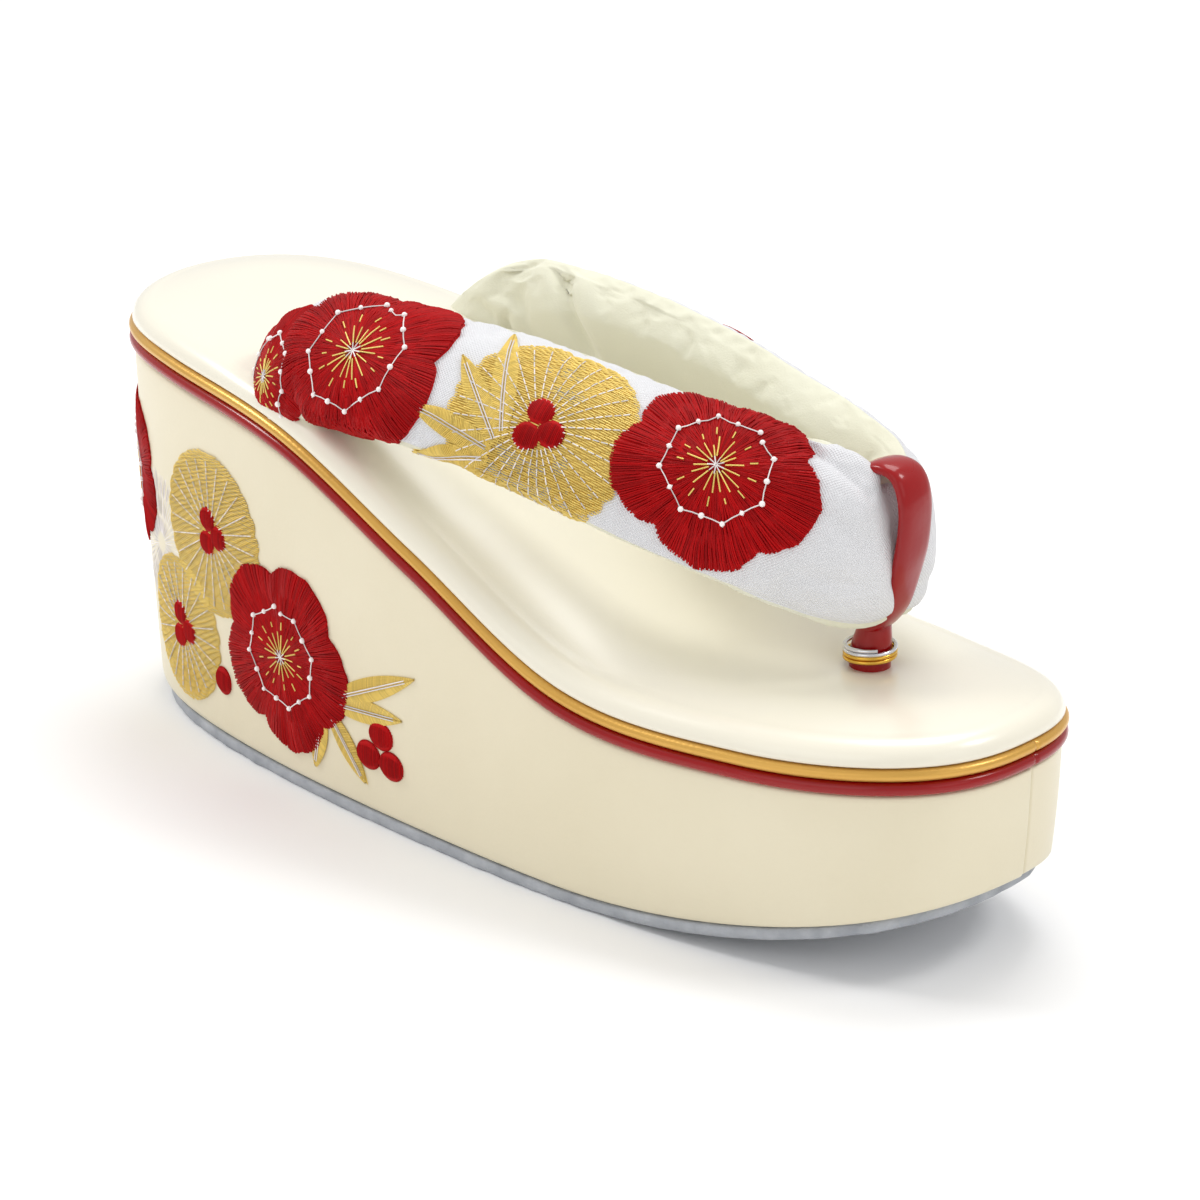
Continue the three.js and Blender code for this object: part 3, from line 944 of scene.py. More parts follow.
@dataclass(frozen=True)
class Crease:
    """A soft trough, or a ridge where its depth is negative, between two spots of the strap."""

    start: tuple[float, float]
    end: tuple[float, float]
    width: float
    depth: float

    def press(self, along: np.ndarray, across: np.ndarray) -> np.ndarray:
        """Returns how far the crease presses each spot in."""
        first, second = np.array(self.start), np.array(self.end)
        run = second - first
        spots = np.stack([along, across], axis=-1) - first
        share = np.clip(spots @ run / (run @ run), 0.0, 1.0)
        away = np.linalg.norm(spots - share[..., None] * run, axis=-1)
        return self.depth * hill(away, self.width) * (0.35 + 0.65 * np.sin(math.pi * (0.1 + 0.8 * share)))


@dataclass
class Strap:
    """The upper: a padded band of white cloth with a cream lining, folded round the toe thong."""

    last: Last
    datum: float = 5.5
    squareness: float = 0.77
    stations: int = 380
    around: int = 112
    sections: tuple[Section, ...] = (
        Section(-27.5, 54, -10.0, 12, 22.0, 6.0, 5.0),
        Section(-28.4, 48, 0.0, 26, 26.0, 7.4, 5.0),
        Section(-28.8, 37, 8.3, 37, 29.0, 8.0, 5.0),
        Section(-28.5, 18, 16.8, 43, 31.0, 8.3, 5.0),
        Section(-26.0, -5, 26.5, 45, 33.0, 8.5, 5.0),
        Section(-20.0, -30, 34.0, 41, 34.0, 8.3, 5.0),
        Section(-13.0, -52, 34.0, 32, 34.5, 8.0, 5.0),
        Section(-6.5, -70, 30.0, 22, 33.0, 8.0, 5.0),
        Section(0.0, -79.5, 26.0, 12, 31.0, 7.2, 4.6),
        Section(6.3, -81.0, 25.4, 8, 28.0, 4.6, 4.4),
        Section(12.6, -79.5, 25.0, 6, 29.5, 7.2, 4.6),
        Section(21.0, -70, 27.5, 10, 29.5, 8.0, 5.0),
        Section(27.0, -52, 30.5, 18, 31.0, 8.4, 5.0),
        Section(31.0, -30, 28.8, 23, 32.0, 8.3, 5.0),
        Section(32.0, -6, 21.3, 23, 31.0, 8.1, 5.0),
        Section(31.4, 16, 13.7, 18, 29.0, 7.8, 5.0),
        Section(31.5, 36, 4.6, 12, 27.0, 7.4, 5.0),
        Section(30.0, 48, -5.0, 6, 24.0, 6.8, 5.0),
        Section(29.0, 54, -11.5, 2, 21.0, 6.0, 5.0),
    )
    seam_depth: float = 0.55
    seam_width: float = 0.8
    lower_seam: float = 0.42
    upper_seams: tuple[float, float] = (0.06, -0.5)
    fold: float = 164.0
    slack: float = 0.6
    pressure: float = 70.0
    vertex_mass: float = 0.05
    stretch_stiffness: float = 15.0
    shear_stiffness: float = 4.0
    bending_stiffness: float = 0.3
    growth: float = 0.008
    cloth_quality: int = 6
    cloth_frames: int = 20
    held_end_rows: int = 4
    held_fold: float = 7.0
    cap: float = 2.0
    dents: int = 70
    dent_depth: float = 0.22
    dent_widths: tuple[float, float] = (4.0, 9.0)
    dent_span: tuple[float, float] = (-55.0, 22.0)
    creases: tuple[Crease, ...] = (
        Crease((139.0, 19.0), (158.0, 11.0), 1.5, 1.8),
        Crease((142.0, 22.0), (159.0, 15.5), 1.6, -1.1),
        Crease((147.0, 24.0), (162.0, 18.5), 1.3, 1.6),
        Crease((150.0, 4.0), (162.0, 2.0), 1.6, 0.6),
        Crease((148.0, -9.0), (162.0, -6.0), 1.7, 0.6),
        Crease((168.0, 13.0), (186.0, 19.0), 1.5, 1.0),
        Crease((168.0, 4.0), (182.0, 5.0), 1.6, 0.6),
        Crease((168.0, -6.0), (184.0, -10.0), 1.6, 0.7),
        Crease((301.5, -50.0), (290.0, -33.0), 2.2, 2.6),
        Crease((295.5, -50.0), (284.0, -34.0), 4.0, -0.6),
        Crease((313.5, -46.0), (306.0, -29.0), 3.0, 0.8),
        Crease((278.0, -54.0), (262.0, -38.0), 4.5, 0.6),
        Crease((5.0, 13.0), (20.0, 16.0), 2.0, 0.9),
        Crease((4.0, -9.0), (19.0, -13.0), 2.0, 0.8),
    )
    points: np.ndarray = field(default_factory=lambda: np.zeros(0))
    normals: np.ndarray = field(default_factory=lambda: np.zeros(0))
    along: np.ndarray = field(default_factory=lambda: np.zeros(0))
    across: np.ndarray = field(default_factory=lambda: np.zeros(0))

    def __post_init__(self) -> None:
        """Works out the band's skin."""
        self.points, centres = self.plain_skin()
        self.measure(centres)
        self.inflate()
        self.measure(centres)
        self.points = self.points - self.normals * self.relief()[..., None]
        self.measure(centres)

    def plain_skin(self) -> tuple[np.ndarray, np.ndarray]:
        """Returns the band's skin before its seams and creases, and its middle line."""
        table = np.array([section.values() for section in self.sections])
        fine = np.linspace(0, len(table) - 1, 2000)
        values = through(table, fine)
        centre = np.column_stack([values[:, 0], values[:, 1], self.ground(values[:, 1]) + values[:, 2]])
        arc = arc_lengths(centre)
        stations = np.interp(np.linspace(0, arc[-1], self.stations), arc, fine)
        values = through(table, stations)
        centre = np.column_stack([values[:, 0], values[:, 1], self.ground(values[:, 1]) + values[:, 2]])
        forward = unit(np.gradient(centre, axis=0))
        upright = np.array([0.0, 0.0, 1.0])
        outward = unit(np.cross(forward, upright))
        lean = np.radians(values[:, 3:4])
        broad = upright * np.cos(lean) - outward * np.sin(lean)
        broad = unit(broad - forward * np.sum(forward * broad, axis=1, keepdims=True))
        thick = np.cross(forward, broad)
        thick = thick * np.sign(np.sum(thick * outward, axis=1, keepdims=True))
        angle = np.linspace(0, 2 * math.pi, self.around, endpoint=False)
        spread = np.sign(np.cos(angle)) * np.abs(np.cos(angle)) ** self.squareness
        padding = np.where(np.sin(angle)[None, :] > 0, values[:, 5:6], values[:, 6:7])
        depth = (padding - self.slack) * np.sin(angle)
        wide = spread[None, :] * values[:, 4:5] / 2
        skin = centre[:, None] + broad[:, None] * wide[..., None] + thick[:, None] * depth[..., None]
        return skin, centre

    def ground(self, y: np.ndarray) -> np.ndarray:
        """Returns the height that the sections' rises are counted from."""
        return self.last.top_line(y) + self.datum

    def measure(self, centres: np.ndarray) -> None:
        """Works out the skin's normals and its lengths along and across the band."""
        runs = np.gradient(self.points, axis=0)
        turns = np.roll(self.points, -1, axis=1) - np.roll(self.points, 1, axis=1)
        normals = unit(np.cross(turns, runs))
        facing = np.sum(normals * (self.points - centres[:, None]), axis=-1)
        self.normals = np.where(facing[..., None] < 0, -normals, normals)
        face = self.around // 4
        self.along = arc_lengths(self.points[:, face])
        steps = np.linalg.norm(np.roll(self.points, -1, axis=1) - self.points, axis=-1)
        reach = np.concatenate([np.zeros((len(steps), 1)), np.cumsum(steps, axis=1)], axis=1)
        self.across = reach[:, face : face + 1] - reach

    def upper_seam(self) -> np.ndarray:
        """Returns the upper seam's angle inside of the top edge, at each station."""
        outer, inner = self.upper_seams
        return outer + (inner - outer) * smooth_step(self.along, self.fold - 5.0, self.fold + 9.0)

    def relief(self) -> np.ndarray:
        """Returns how far seams and creases press the skin in, in millimetres."""
        across = self.across[:, :-1]
        along = np.broadcast_to(self.along[:, None], across.shape)
        press = np.zeros(across.shape)
        angle = np.linspace(0, 2 * math.pi, self.around, endpoint=False)
        lower = np.full((len(self.along), 1), math.pi - self.lower_seam)
        for place in (lower, 2 * math.pi - self.upper_seam()[:, None]):
            away = np.abs((angle - place + math.pi) % (2 * math.pi) - math.pi)
            press = press + self.seam_depth * hill(away * 9.0, self.seam_width)
        girth = self.across[:, :1] - self.across[:, -1:]
        rng = np.random.default_rng(SEED)
        for _ in range(self.dents):
            spot = rng.uniform((0.0, self.dent_span[0]), (self.along[-1], self.dent_span[1]))
            away = np.hypot(along - spot[0], across - spot[1])
            depth = rng.uniform(-self.dent_depth, self.dent_depth)
            press = press + depth * hill(away, rng.uniform(*self.dent_widths))
        for crease in self.creases:
            once, again = crease.press(along, across), crease.press(along, across + girth)
            press = press + np.where(np.abs(again) > np.abs(once), again, once)
        return press

    def inflate(self) -> None:
        """Lets the band swell as cloth, held at its seams, its two ends and its fold."""
        coarse = self.points[::2, ::2]
        rows, columns = coarse.shape[:2]
        maker = MeshMaker("band_cloth")
        start = maker.add_grid(coarse)
        maker.add_fan(start, columns, coarse[0].mean(axis=0))
        maker.add_fan(start + (rows - 1) * columns, columns, coarse[-1].mean(axis=0))
        cloth = maker.build([])
        held = cloth.vertex_groups.new(name="held")
        angle = np.linspace(0, 2 * math.pi, columns, endpoint=False)
        upper = self.upper_seam()[::2]
        for row in range(rows):
            from_fold = abs(float(self.along[2 * row]) - self.fold)
            for column in range(columns):
                gaps = (angle[column] - math.pi + self.lower_seam, angle[column] + upper[row])
                off = min(abs(math.remainder(gap, 2 * math.pi)) for gap in gaps)
                if off < math.pi / columns or min(row, rows - 1 - row) < self.held_end_rows \
                        or from_fold < self.held_fold:
                    held.add([row * columns + column], 1.0, "REPLACE")
        held.add([rows * columns, rows * columns + 1], 1.0, "REPLACE")
        modifier = cloth.modifiers.new("cloth", "CLOTH")
        rules = modifier.settings
        rules.quality = self.cloth_quality
        rules.mass = self.vertex_mass
        rules.tension_stiffness = rules.compression_stiffness = self.stretch_stiffness
        rules.shear_stiffness = self.shear_stiffness
        rules.bending_stiffness = self.bending_stiffness
        rules.shrink_min = -self.growth
        rules.use_pressure = True
        rules.uniform_pressure_force = self.pressure
        rules.vertex_group_mass = held.name
        rules.effector_weights.gravity = 0.0
        scene = bpy.context.scene
        modifier.point_cache.frame_start, modifier.point_cache.frame_end = 1, self.cloth_frames
        for frame in range(1, self.cloth_frames + 1):
            scene.frame_set(frame)
            bpy.context.view_layer.update()
        graph = bpy.context.evaluated_depsgraph_get()
        mesh = cloth.evaluated_get(graph).data
        flat = np.zeros(len(mesh.vertices) * 3, np.float32)
        mesh.vertices.foreach_get("co", flat)
        scene.frame_set(1)
        swollen = flat.reshape(-1, 3)[: rows * columns].reshape(rows, columns, 3) / MM
        bpy.data.objects.remove(cloth)
        moves = np.nan_to_num(swollen - coarse)
        size = np.linalg.norm(moves, axis=-1, keepdims=True)
        LOG.info("band cloth: mean move %.2f mm, most %.2f mm", size.mean(), size.max())
        moves = moves * np.minimum(1.0, self.cap / np.maximum(size, 1e-9))
        self.points = self.points + self.refined(moves)

    def refined(self, moves: np.ndarray) -> np.ndarray:
        """Returns the coarse grid's moves read smoothly at all the band's points."""
        wrapped = np.concatenate([moves[:, -2:], moves, moves[:, :3]], axis=1)
        turned = through(wrapped.transpose(1, 0, 2), 2 + np.arange(self.around) / 2).transpose(1, 0, 2)
        return through(turned, np.minimum(np.arange(self.stations) / 2, len(moves) - 1))

    def patch(self, low: float = -24.0, high: float = 24.0, step: float = 0.5) -> Patch:
        """Makes the patch on the band's face that embroidery is laid on.

        Args:
            low: Its lower edge, from the middle of the band's face.
            high: Its upper edge.
            step: The distance between the patch's points.

        Returns:
            The patch, whose first coordinate runs from the outer arm's back end.
        """
        goal = np.arange(low, high + step, step)
        even = np.arange(0.0, self.along[-1], step)
        rows_points, rows_normals = [], []
        for points, normals, across in zip(self.points, self.normals, self.across):
            total = across[0] - across[-1]
            spots = np.concatenate([across[:-1] - total, across[:-1], across[:-1] + total])
            order = np.argsort(spots)
            for rows, values in ((rows_points, points), (rows_normals, normals)):
                triple = np.concatenate([values] * 3)[order]
                rows.append([np.interp(goal, spots[order], triple[:, k]) for k in range(3)])
        points = np.array(rows_points).transpose(0, 2, 1)
        normals = np.array(rows_normals).transpose(0, 2, 1)

        def evened(values: np.ndarray) -> np.ndarray:
            """Reads the rows at even lengths along the band."""
            flat = values.reshape(len(values), -1)
            read = np.stack([np.interp(even, self.along, flat[:, k]) for k in range(flat.shape[1])], axis=1)
            return read.reshape(len(even), *values.shape[1:])

        return Patch(evened(points), evened(normals), (0.0, low), (step, step))

    def make(self, cloth: bpy.types.Material, lining: bpy.types.Material) -> bpy.types.Object:
        """Makes the padded band.

        Args:
            cloth: The outside's material.
            lining: The material of the side next to the foot.

        Returns:
            The piece.
        """
        maker = MeshMaker("hanao_band")
        turn = 2 * math.pi / self.around
        upper = self.upper_seam()

        def slot_of(row: int, column: int) -> int:
            """Returns 1 on the lining's side of the seams."""
            angle = (column + 0.5) * turn
            below_top = angle < 2 * math.pi - upper[row] or angle < -upper[row]
            return int((angle > math.pi - self.lower_seam and below_top) or angle < -upper[row])

        uv = np.stack([np.broadcast_to(self.along[:, None], self.across.shape), self.across], axis=-1)
        start = maker.add_grid(self.points, uv / 100, slot_of=slot_of)
        last_ring = start + (self.stations - 1) * self.around
        maker.add_fan(start, self.around, self.points[0].mean(axis=0))
        maker.add_fan(last_ring, self.around, self.points[-1].mean(axis=0))
        return maker.build([cloth, lining])


# ---- toe thong ----------------------------------------------------------------------------------------


@dataclass
class Thong:
    """The red toe thong: a band round the strap's front, its stem, and a wire coil at its foot."""

    floor: float
    x: float = 6.3
    y: float = -78.6
    width: float = 9.0
    neck_width: float = 6.8
    thickness: float = 2.2
    stem_radius: float = 4.1
    stem_depth: float = 3.0
    stem_top: float = 12.0
    loop: tuple[tuple[float, float], ...] = (
        (-79.5, 8.0),
        (-84.0, 12.6),
        (-87.0, 23.0),
        (-88.0, 33.5),
        (-85.6, 40.0),
        (-80.0, 40.6),
        (-75.8, 36.0),
        (-75.4, 25.0),
        (-76.0, 14.0),
    )
    steps: int = 160
    around: int = 28
    coil_radius: float = 4.95
    wire_radius: float = 0.42
    coil_lift: float = 0.9
    coil_pitch: float = 0.86

    def loop_points(self) -> np.ndarray:
        """Returns the closed line that the band follows."""
        table = np.array(self.loop)
        padded = np.concatenate([table[-2:], table, table[:3]])
        places = 2 + np.linspace(0, len(table), self.steps, endpoint=False)
        values = through(padded, places)
        return np.column_stack([np.full(self.steps, self.x), values[:, 0], self.floor + values[:, 1]])

    def make(self, finish: bpy.types.Material) -> bpy.types.Object:
        """Makes the band and its stem as one piece, and returns it."""
        maker = MeshMaker("toe_thong")
        middle = self.loop_points()
        forward = unit(np.roll(middle, -1, axis=0) - np.roll(middle, 1, axis=0))
        side = np.array([1.0, 0.0, 0.0])
        outward = np.cross(side, forward)
        centre = middle.mean(axis=0)
        if np.sum(outward[len(middle) // 3] * (middle[len(middle) // 3] - centre)) < 0:
            outward = -outward
        rise = middle[:, 2] - self.floor
        neck = smooth_step(rise, 9.0, 25.0)
        half = (self.neck_width + (self.width - self.neck_width) * neck) / 2
        angle = np.linspace(0, 2 * math.pi, self.around, endpoint=False)
        wide = np.sign(np.cos(angle)) * np.abs(np.cos(angle)) ** 0.45
        deep = np.sign(np.sin(angle)) * np.abs(np.sin(angle)) ** 0.6
        crown = 0.45 * (1 - wide**2)
        pucker = 0.22 * np.sin(rise * 0.55)[:, None] * hill(wide - 0.4, 0.5)[None, :]
        depth = deep * self.thickness / 2 + np.where(deep > 0, crown, 0.0)
        depth = depth[None, :] + np.where(deep > 0, pucker, 0.0)
        points = (middle[:, None] + side * (wide[None, :] * half[:, None])[..., None]
                  + outward[:, None] * depth[..., None])
        maker.add_grid(np.concatenate([points, points[:1]]))
        self.add_stem(maker)
        return maker.build([finish])

    def add_stem(self, maker: MeshMaker) -> None:
        """Adds the stem: round in its hole, narrow and flatter where it meets the band."""
        angle = np.linspace(0, 2 * math.pi, 40, endpoint=False)
        rings = []
        for share in np.linspace(0.0, 1.0, 18):
            z = self.floor - self.stem_depth + share * (self.stem_depth + self.stem_top)
            up = max(0.0, z - self.floor - 2.0) / (self.stem_top - 2.0)
            wide = self.stem_radius - 0.3 * math.sin(math.pi * min(1.0, up * 1.2)) - 0.8 * up
            deep = self.stem_radius - 1.6 * smooth_step(np.array(up), 0.1, 1.0)
            shift = -1.6 * up
            folds = 1 + 0.035 * np.cos(5 * angle + 1.0) * up
            ring = np.column_stack([
                self.x + wide * np.cos(angle) * folds,
                self.y + shift + deep * np.sin(angle) * folds,
                np.full(40, z),
            ])
            rings.append(ring)
        start = maker.add_grid(np.array(rings))
        maker.add_fan(start, 40, rings[0].mean(axis=0))
        maker.add_fan(start + 17 * 40, 40, rings[-1].mean(axis=0))

    def coil_line(self, first: float, turns: float) -> np.ndarray:
        """Returns the line of a wire coil.

        Args:
            first: How many turns up it starts.
            turns: How many turns it has.

        Returns:
            The points of the line.
        """
        turn = np.linspace(0.0, turns, int(turns * 40))
        angle = 2 * math.pi * turn + first
        radius = self.coil_radius + 0.12 * np.sin(3 * angle)
        z = self.floor + self.coil_lift + self.coil_pitch * (first + turn)
        return np.column_stack([
            self.x + radius * np.cos(angle),
            self.y + radius * np.sin(angle),
            z + 0.25 * np.sin(angle + 2.2),
        ])


# ---- threads by Geometry Nodes ----------------------------------------------------------------------


class NodeRecipe:
    """A Geometry Nodes tree with named inputs, and what puts it on a piece."""

    def __init__(self, name: str) -> None:
        """Starts an empty tree with a geometry input and output."""
        self.tree = bpy.data.node_groups.new(name, "GeometryNodeTree")
        face = self.tree.interface
        face.new_socket("Geometry", in_out="INPUT", socket_type="NodeSocketGeometry")
        face.new_socket("Geometry", in_out="OUTPUT", socket_type="NodeSocketGeometry")
        self.wiring = Wiring(self.tree)
        self.inputs: dict[str, str] = {}

    def add_input(self, name: str, kind: str) -> None:
        """Adds a named input."""
        socket = self.tree.interface.new_socket(name, in_out="INPUT", socket_type=kind)
        self.inputs[name] = socket.identifier

    def finish(self, shape: bpy.types.NodeSocket, source: bpy.types.Node) -> None:
        """Ends the tree in Realize Instances and Set Material."""
        real = self.wiring.add("GeometryNodeRealizeInstances")
        smooth = self.wiring.add("GeometryNodeSetShadeSmooth")
        dress = self.wiring.add("GeometryNodeSetMaterial")
        target = self.wiring.add("NodeGroupOutput")
        self.wiring.join(shape, real.inputs[0])
        self.wiring.join(real.outputs[0], smooth.inputs[0])
        self.wiring.join(smooth.outputs[0], dress.inputs[0])
        self.wiring.join(source.outputs["Material"], dress.inputs["Material"])
        self.wiring.join(dress.outputs[0], target.inputs[0])

    def run(self, piece: bpy.types.Object, **values: object) -> bpy.types.Object:
        """Runs the tree on a piece and leaves a plain mesh.

        Args:
            piece: The piece whose mesh goes in.
            **values: The named inputs, with _ for a space.

        Returns:
            The piece.
        """
        modifier = piece.modifiers.new(self.tree.name, "NODES")
        modifier.node_group = self.tree
        for name, value in values.items():
            modifier[self.inputs[name.replace("_", " ")]] = value
        return applied(piece)


def thread_recipe() -> NodeRecipe:
    """Makes the tree that sweeps a thread or wire along each line of a mesh, and returns it."""
    recipe = NodeRecipe("sweep_threads")
    recipe.add_input("Radius", "NodeSocketFloat")
    recipe.add_input("Sides", "NodeSocketInt")
    recipe.add_input("Material", "NodeSocketMaterial")
    wiring = recipe.wiring
    source = wiring.add("NodeGroupInput")
    lines = wiring.add("GeometryNodeMeshToCurve")
    ring = wiring.add("GeometryNodeCurvePrimitiveCircle")
    sweep = wiring.add("GeometryNodeCurveToMesh")
    sweep.inputs["Fill Caps"].default_value = True
    wiring.join(source.outputs["Geometry"], lines.inputs["Mesh"])
    wiring.join(source.outputs["Radius"], ring.inputs["Radius"])
    wiring.join(source.outputs["Sides"], ring.inputs["Resolution"])
    wiring.join(lines.outputs[0], sweep.inputs["Curve"])
    wiring.join(ring.outputs[0], sweep.inputs["Profile Curve"])
    recipe.finish(sweep.outputs[0], source)
    return recipe


def knot_recipe() -> NodeRecipe:
    """Makes the tree that sets a small knot on each point of a mesh, and returns it."""
    recipe = NodeRecipe("set_knots")
    recipe.add_input("Radius", "NodeSocketFloat")
    recipe.add_input("Seed", "NodeSocketInt")
    recipe.add_input("Material", "NodeSocketMaterial")
    wiring = recipe.wiring
    source = wiring.add("NodeGroupInput")
    bead = wiring.add("GeometryNodeMeshIcoSphere")
    bead.inputs["Subdivisions"].default_value = 2
    turn = wiring.add("FunctionNodeRandomValue", data_type="FLOAT_VECTOR")
    turn.inputs["Max"].default_value = (math.pi, math.pi, math.pi)
    size = wiring.add("FunctionNodeRandomValue", data_type="FLOAT")
    size.inputs[2].default_value = 0.85
    size.inputs[3].default_value = 1.15
    spots = wiring.add("GeometryNodeInstanceOnPoints")
    wiring.join(source.outputs["Geometry"], spots.inputs["Points"])
    wiring.join(source.outputs["Radius"], bead.inputs["Radius"])
    wiring.join(source.outputs["Seed"], turn.inputs["Seed"])
    wiring.join(source.outputs["Seed"], size.inputs["Seed"])
    wiring.join(bead.outputs["Mesh"], spots.inputs["Instance"])
    wiring.join(turn.outputs[0], spots.inputs["Rotation"])
    wiring.join(size.outputs[1], spots.inputs["Scale"])
    recipe.finish(spots.outputs[0], source)
    return recipe


def line_object(name: str, lines: list[Batch], tones: list[np.ndarray]) -> bpy.types.Object:
    """Makes an object of bare lines for the thread tree.

    Args:
        name: The object's name.
        lines: Batches of lines, each an array of lines by points by x, y, z in millimetres.
        tones: For each batch, one shade from 0 to 1 for each line.

    Returns:
        The object.
    """
    verts, edges, shades = [], [], []
    count = 0
    for batch, tone in zip(lines, tones):
        number, points = batch.shape[:2]
        index = count + np.arange(number * points).reshape(number, points)
        edges.append(np.stack([index[:, :-1].ravel(), index[:, 1:].ravel()], axis=1))
        verts.append(batch.reshape(-1, 3))
        shades.append(np.repeat(tone, points))
        count += number * points
    mesh = bpy.data.meshes.new(name)
    mesh.from_pydata((np.concatenate(verts) * MM).tolist(), np.concatenate(edges).tolist(), [])
    attribute = mesh.attributes.new("tone", "FLOAT", "POINT")
    attribute.data.foreach_set("value", np.concatenate(shades).astype(np.float32))
    piece = bpy.data.objects.new(name, mesh)
    bpy.context.scene.collection.objects.link(piece)
    return piece


# ---- embroidery ---------------------------------------------------------------------------------------


class Yarn(Enum):
    """The threads that the embroidery is worked in."""

    RED = "red"
    GOLD = "gold"
    WHITE = "white"


@dataclass
class Work:
    """What a motif adds to the embroidery, already placed on its patch."""

    threads: dict[Yarn, list[Batch]] = field(default_factory=lambda: {yarn: [] for yarn in Yarn})
    tones: dict[Yarn, list[np.ndarray]] = field(default_factory=lambda: {yarn: [] for yarn in Yarn})
    pads: dict[Yarn, list[np.ndarray]] = field(default_factory=lambda: {yarn: [] for yarn in Yarn})
    knots: dict[Yarn, list[np.ndarray]] = field(default_factory=lambda: {yarn: [] for yarn in Yarn})


@dataclass
class Hoop:
    """A spot on a patch where one motif is worked, with its own turn and stretch."""

    patch: Patch
    along: float
    across: float
    turn: float = 0.0
    stretch: float = 1.0

    def lay(self, spots: np.ndarray, lift: np.ndarray | float = 0.0) -> np.ndarray:
        """Places a motif's own coordinates on the patch.

        Args:
            spots: Millimetres from the motif's middle, x and y on the last axis.
            lift: How far above the cloth each spot is.

        Returns:
            The points.
        """
        c, s = math.cos(math.radians(self.turn)), math.sin(math.radians(self.turn))
        x, y = spots[..., 0] * self.stretch, spots[..., 1]
        turned = np.stack([self.along + c * x - s * y, self.across + s * x + c * y], axis=-1)
        return self.patch.place(turned, np.broadcast_to(lift, spots.shape[:-1]))


def polar(radius: np.ndarray, angle: np.ndarray) -> np.ndarray:
    """Returns x and y of polar coordinates."""
    return np.stack([radius * np.cos(angle), radius * np.sin(angle)], axis=-1)


@dataclass
class Motif:
    """A motif of the embroidery, worked in a hoop."""

    hoop: Hoop
    size: float
    thread: float = 0.34
    base: float = 0.0

    def sew(self, work: Work, yarn: Yarn, spots: np.ndarray, lift: np.ndarray,
            rng: np.random.Generator) -> None:
        """Adds a batch of stitches.

        Args:
            work: Where they are added.
            yarn: Their thread.
            spots: Lines by points by x, y, in the motif's millimetres.
            lift: How far above the cloth the points are.
            rng: The generator of small differences.
        """
        work.threads[yarn].append(self.hoop.lay(spots, lift + self.base))
        work.tones[yarn].append(rng.uniform(0, 1, len(spots)))

    def pad(self, work: Work, yarn: Yarn, outline: np.ndarray, height: float) -> None:
        """Adds the raised ground under the stitches.

        Args:
            work: Where it is added.
            yarn: Its thread.
            outline: The points of its edge, in the motif's millimetres.
            height: How far its middle stands above the cloth.
        """
        middle = outline.mean(axis=0)
        rings = []
        for share in (1.0, 0.97, 0.9, 0.75, 0.55, 0.3, 0.08):
            spots = middle + (outline - middle) * share
            lift = -0.15 if share == 1.0 else self.base + height * math.sqrt(1 - share**6)
            rings.append(self.hoop.lay(spots, lift))
        work.pads[yarn].append(np.array(rings))

    def knot(self, work: Work, yarn: Yarn, spots: np.ndarray, lift: float) -> None:
        """Adds small knots."""
        work.knots[yarn].append(self.hoop.lay(spots, lift + self.base))


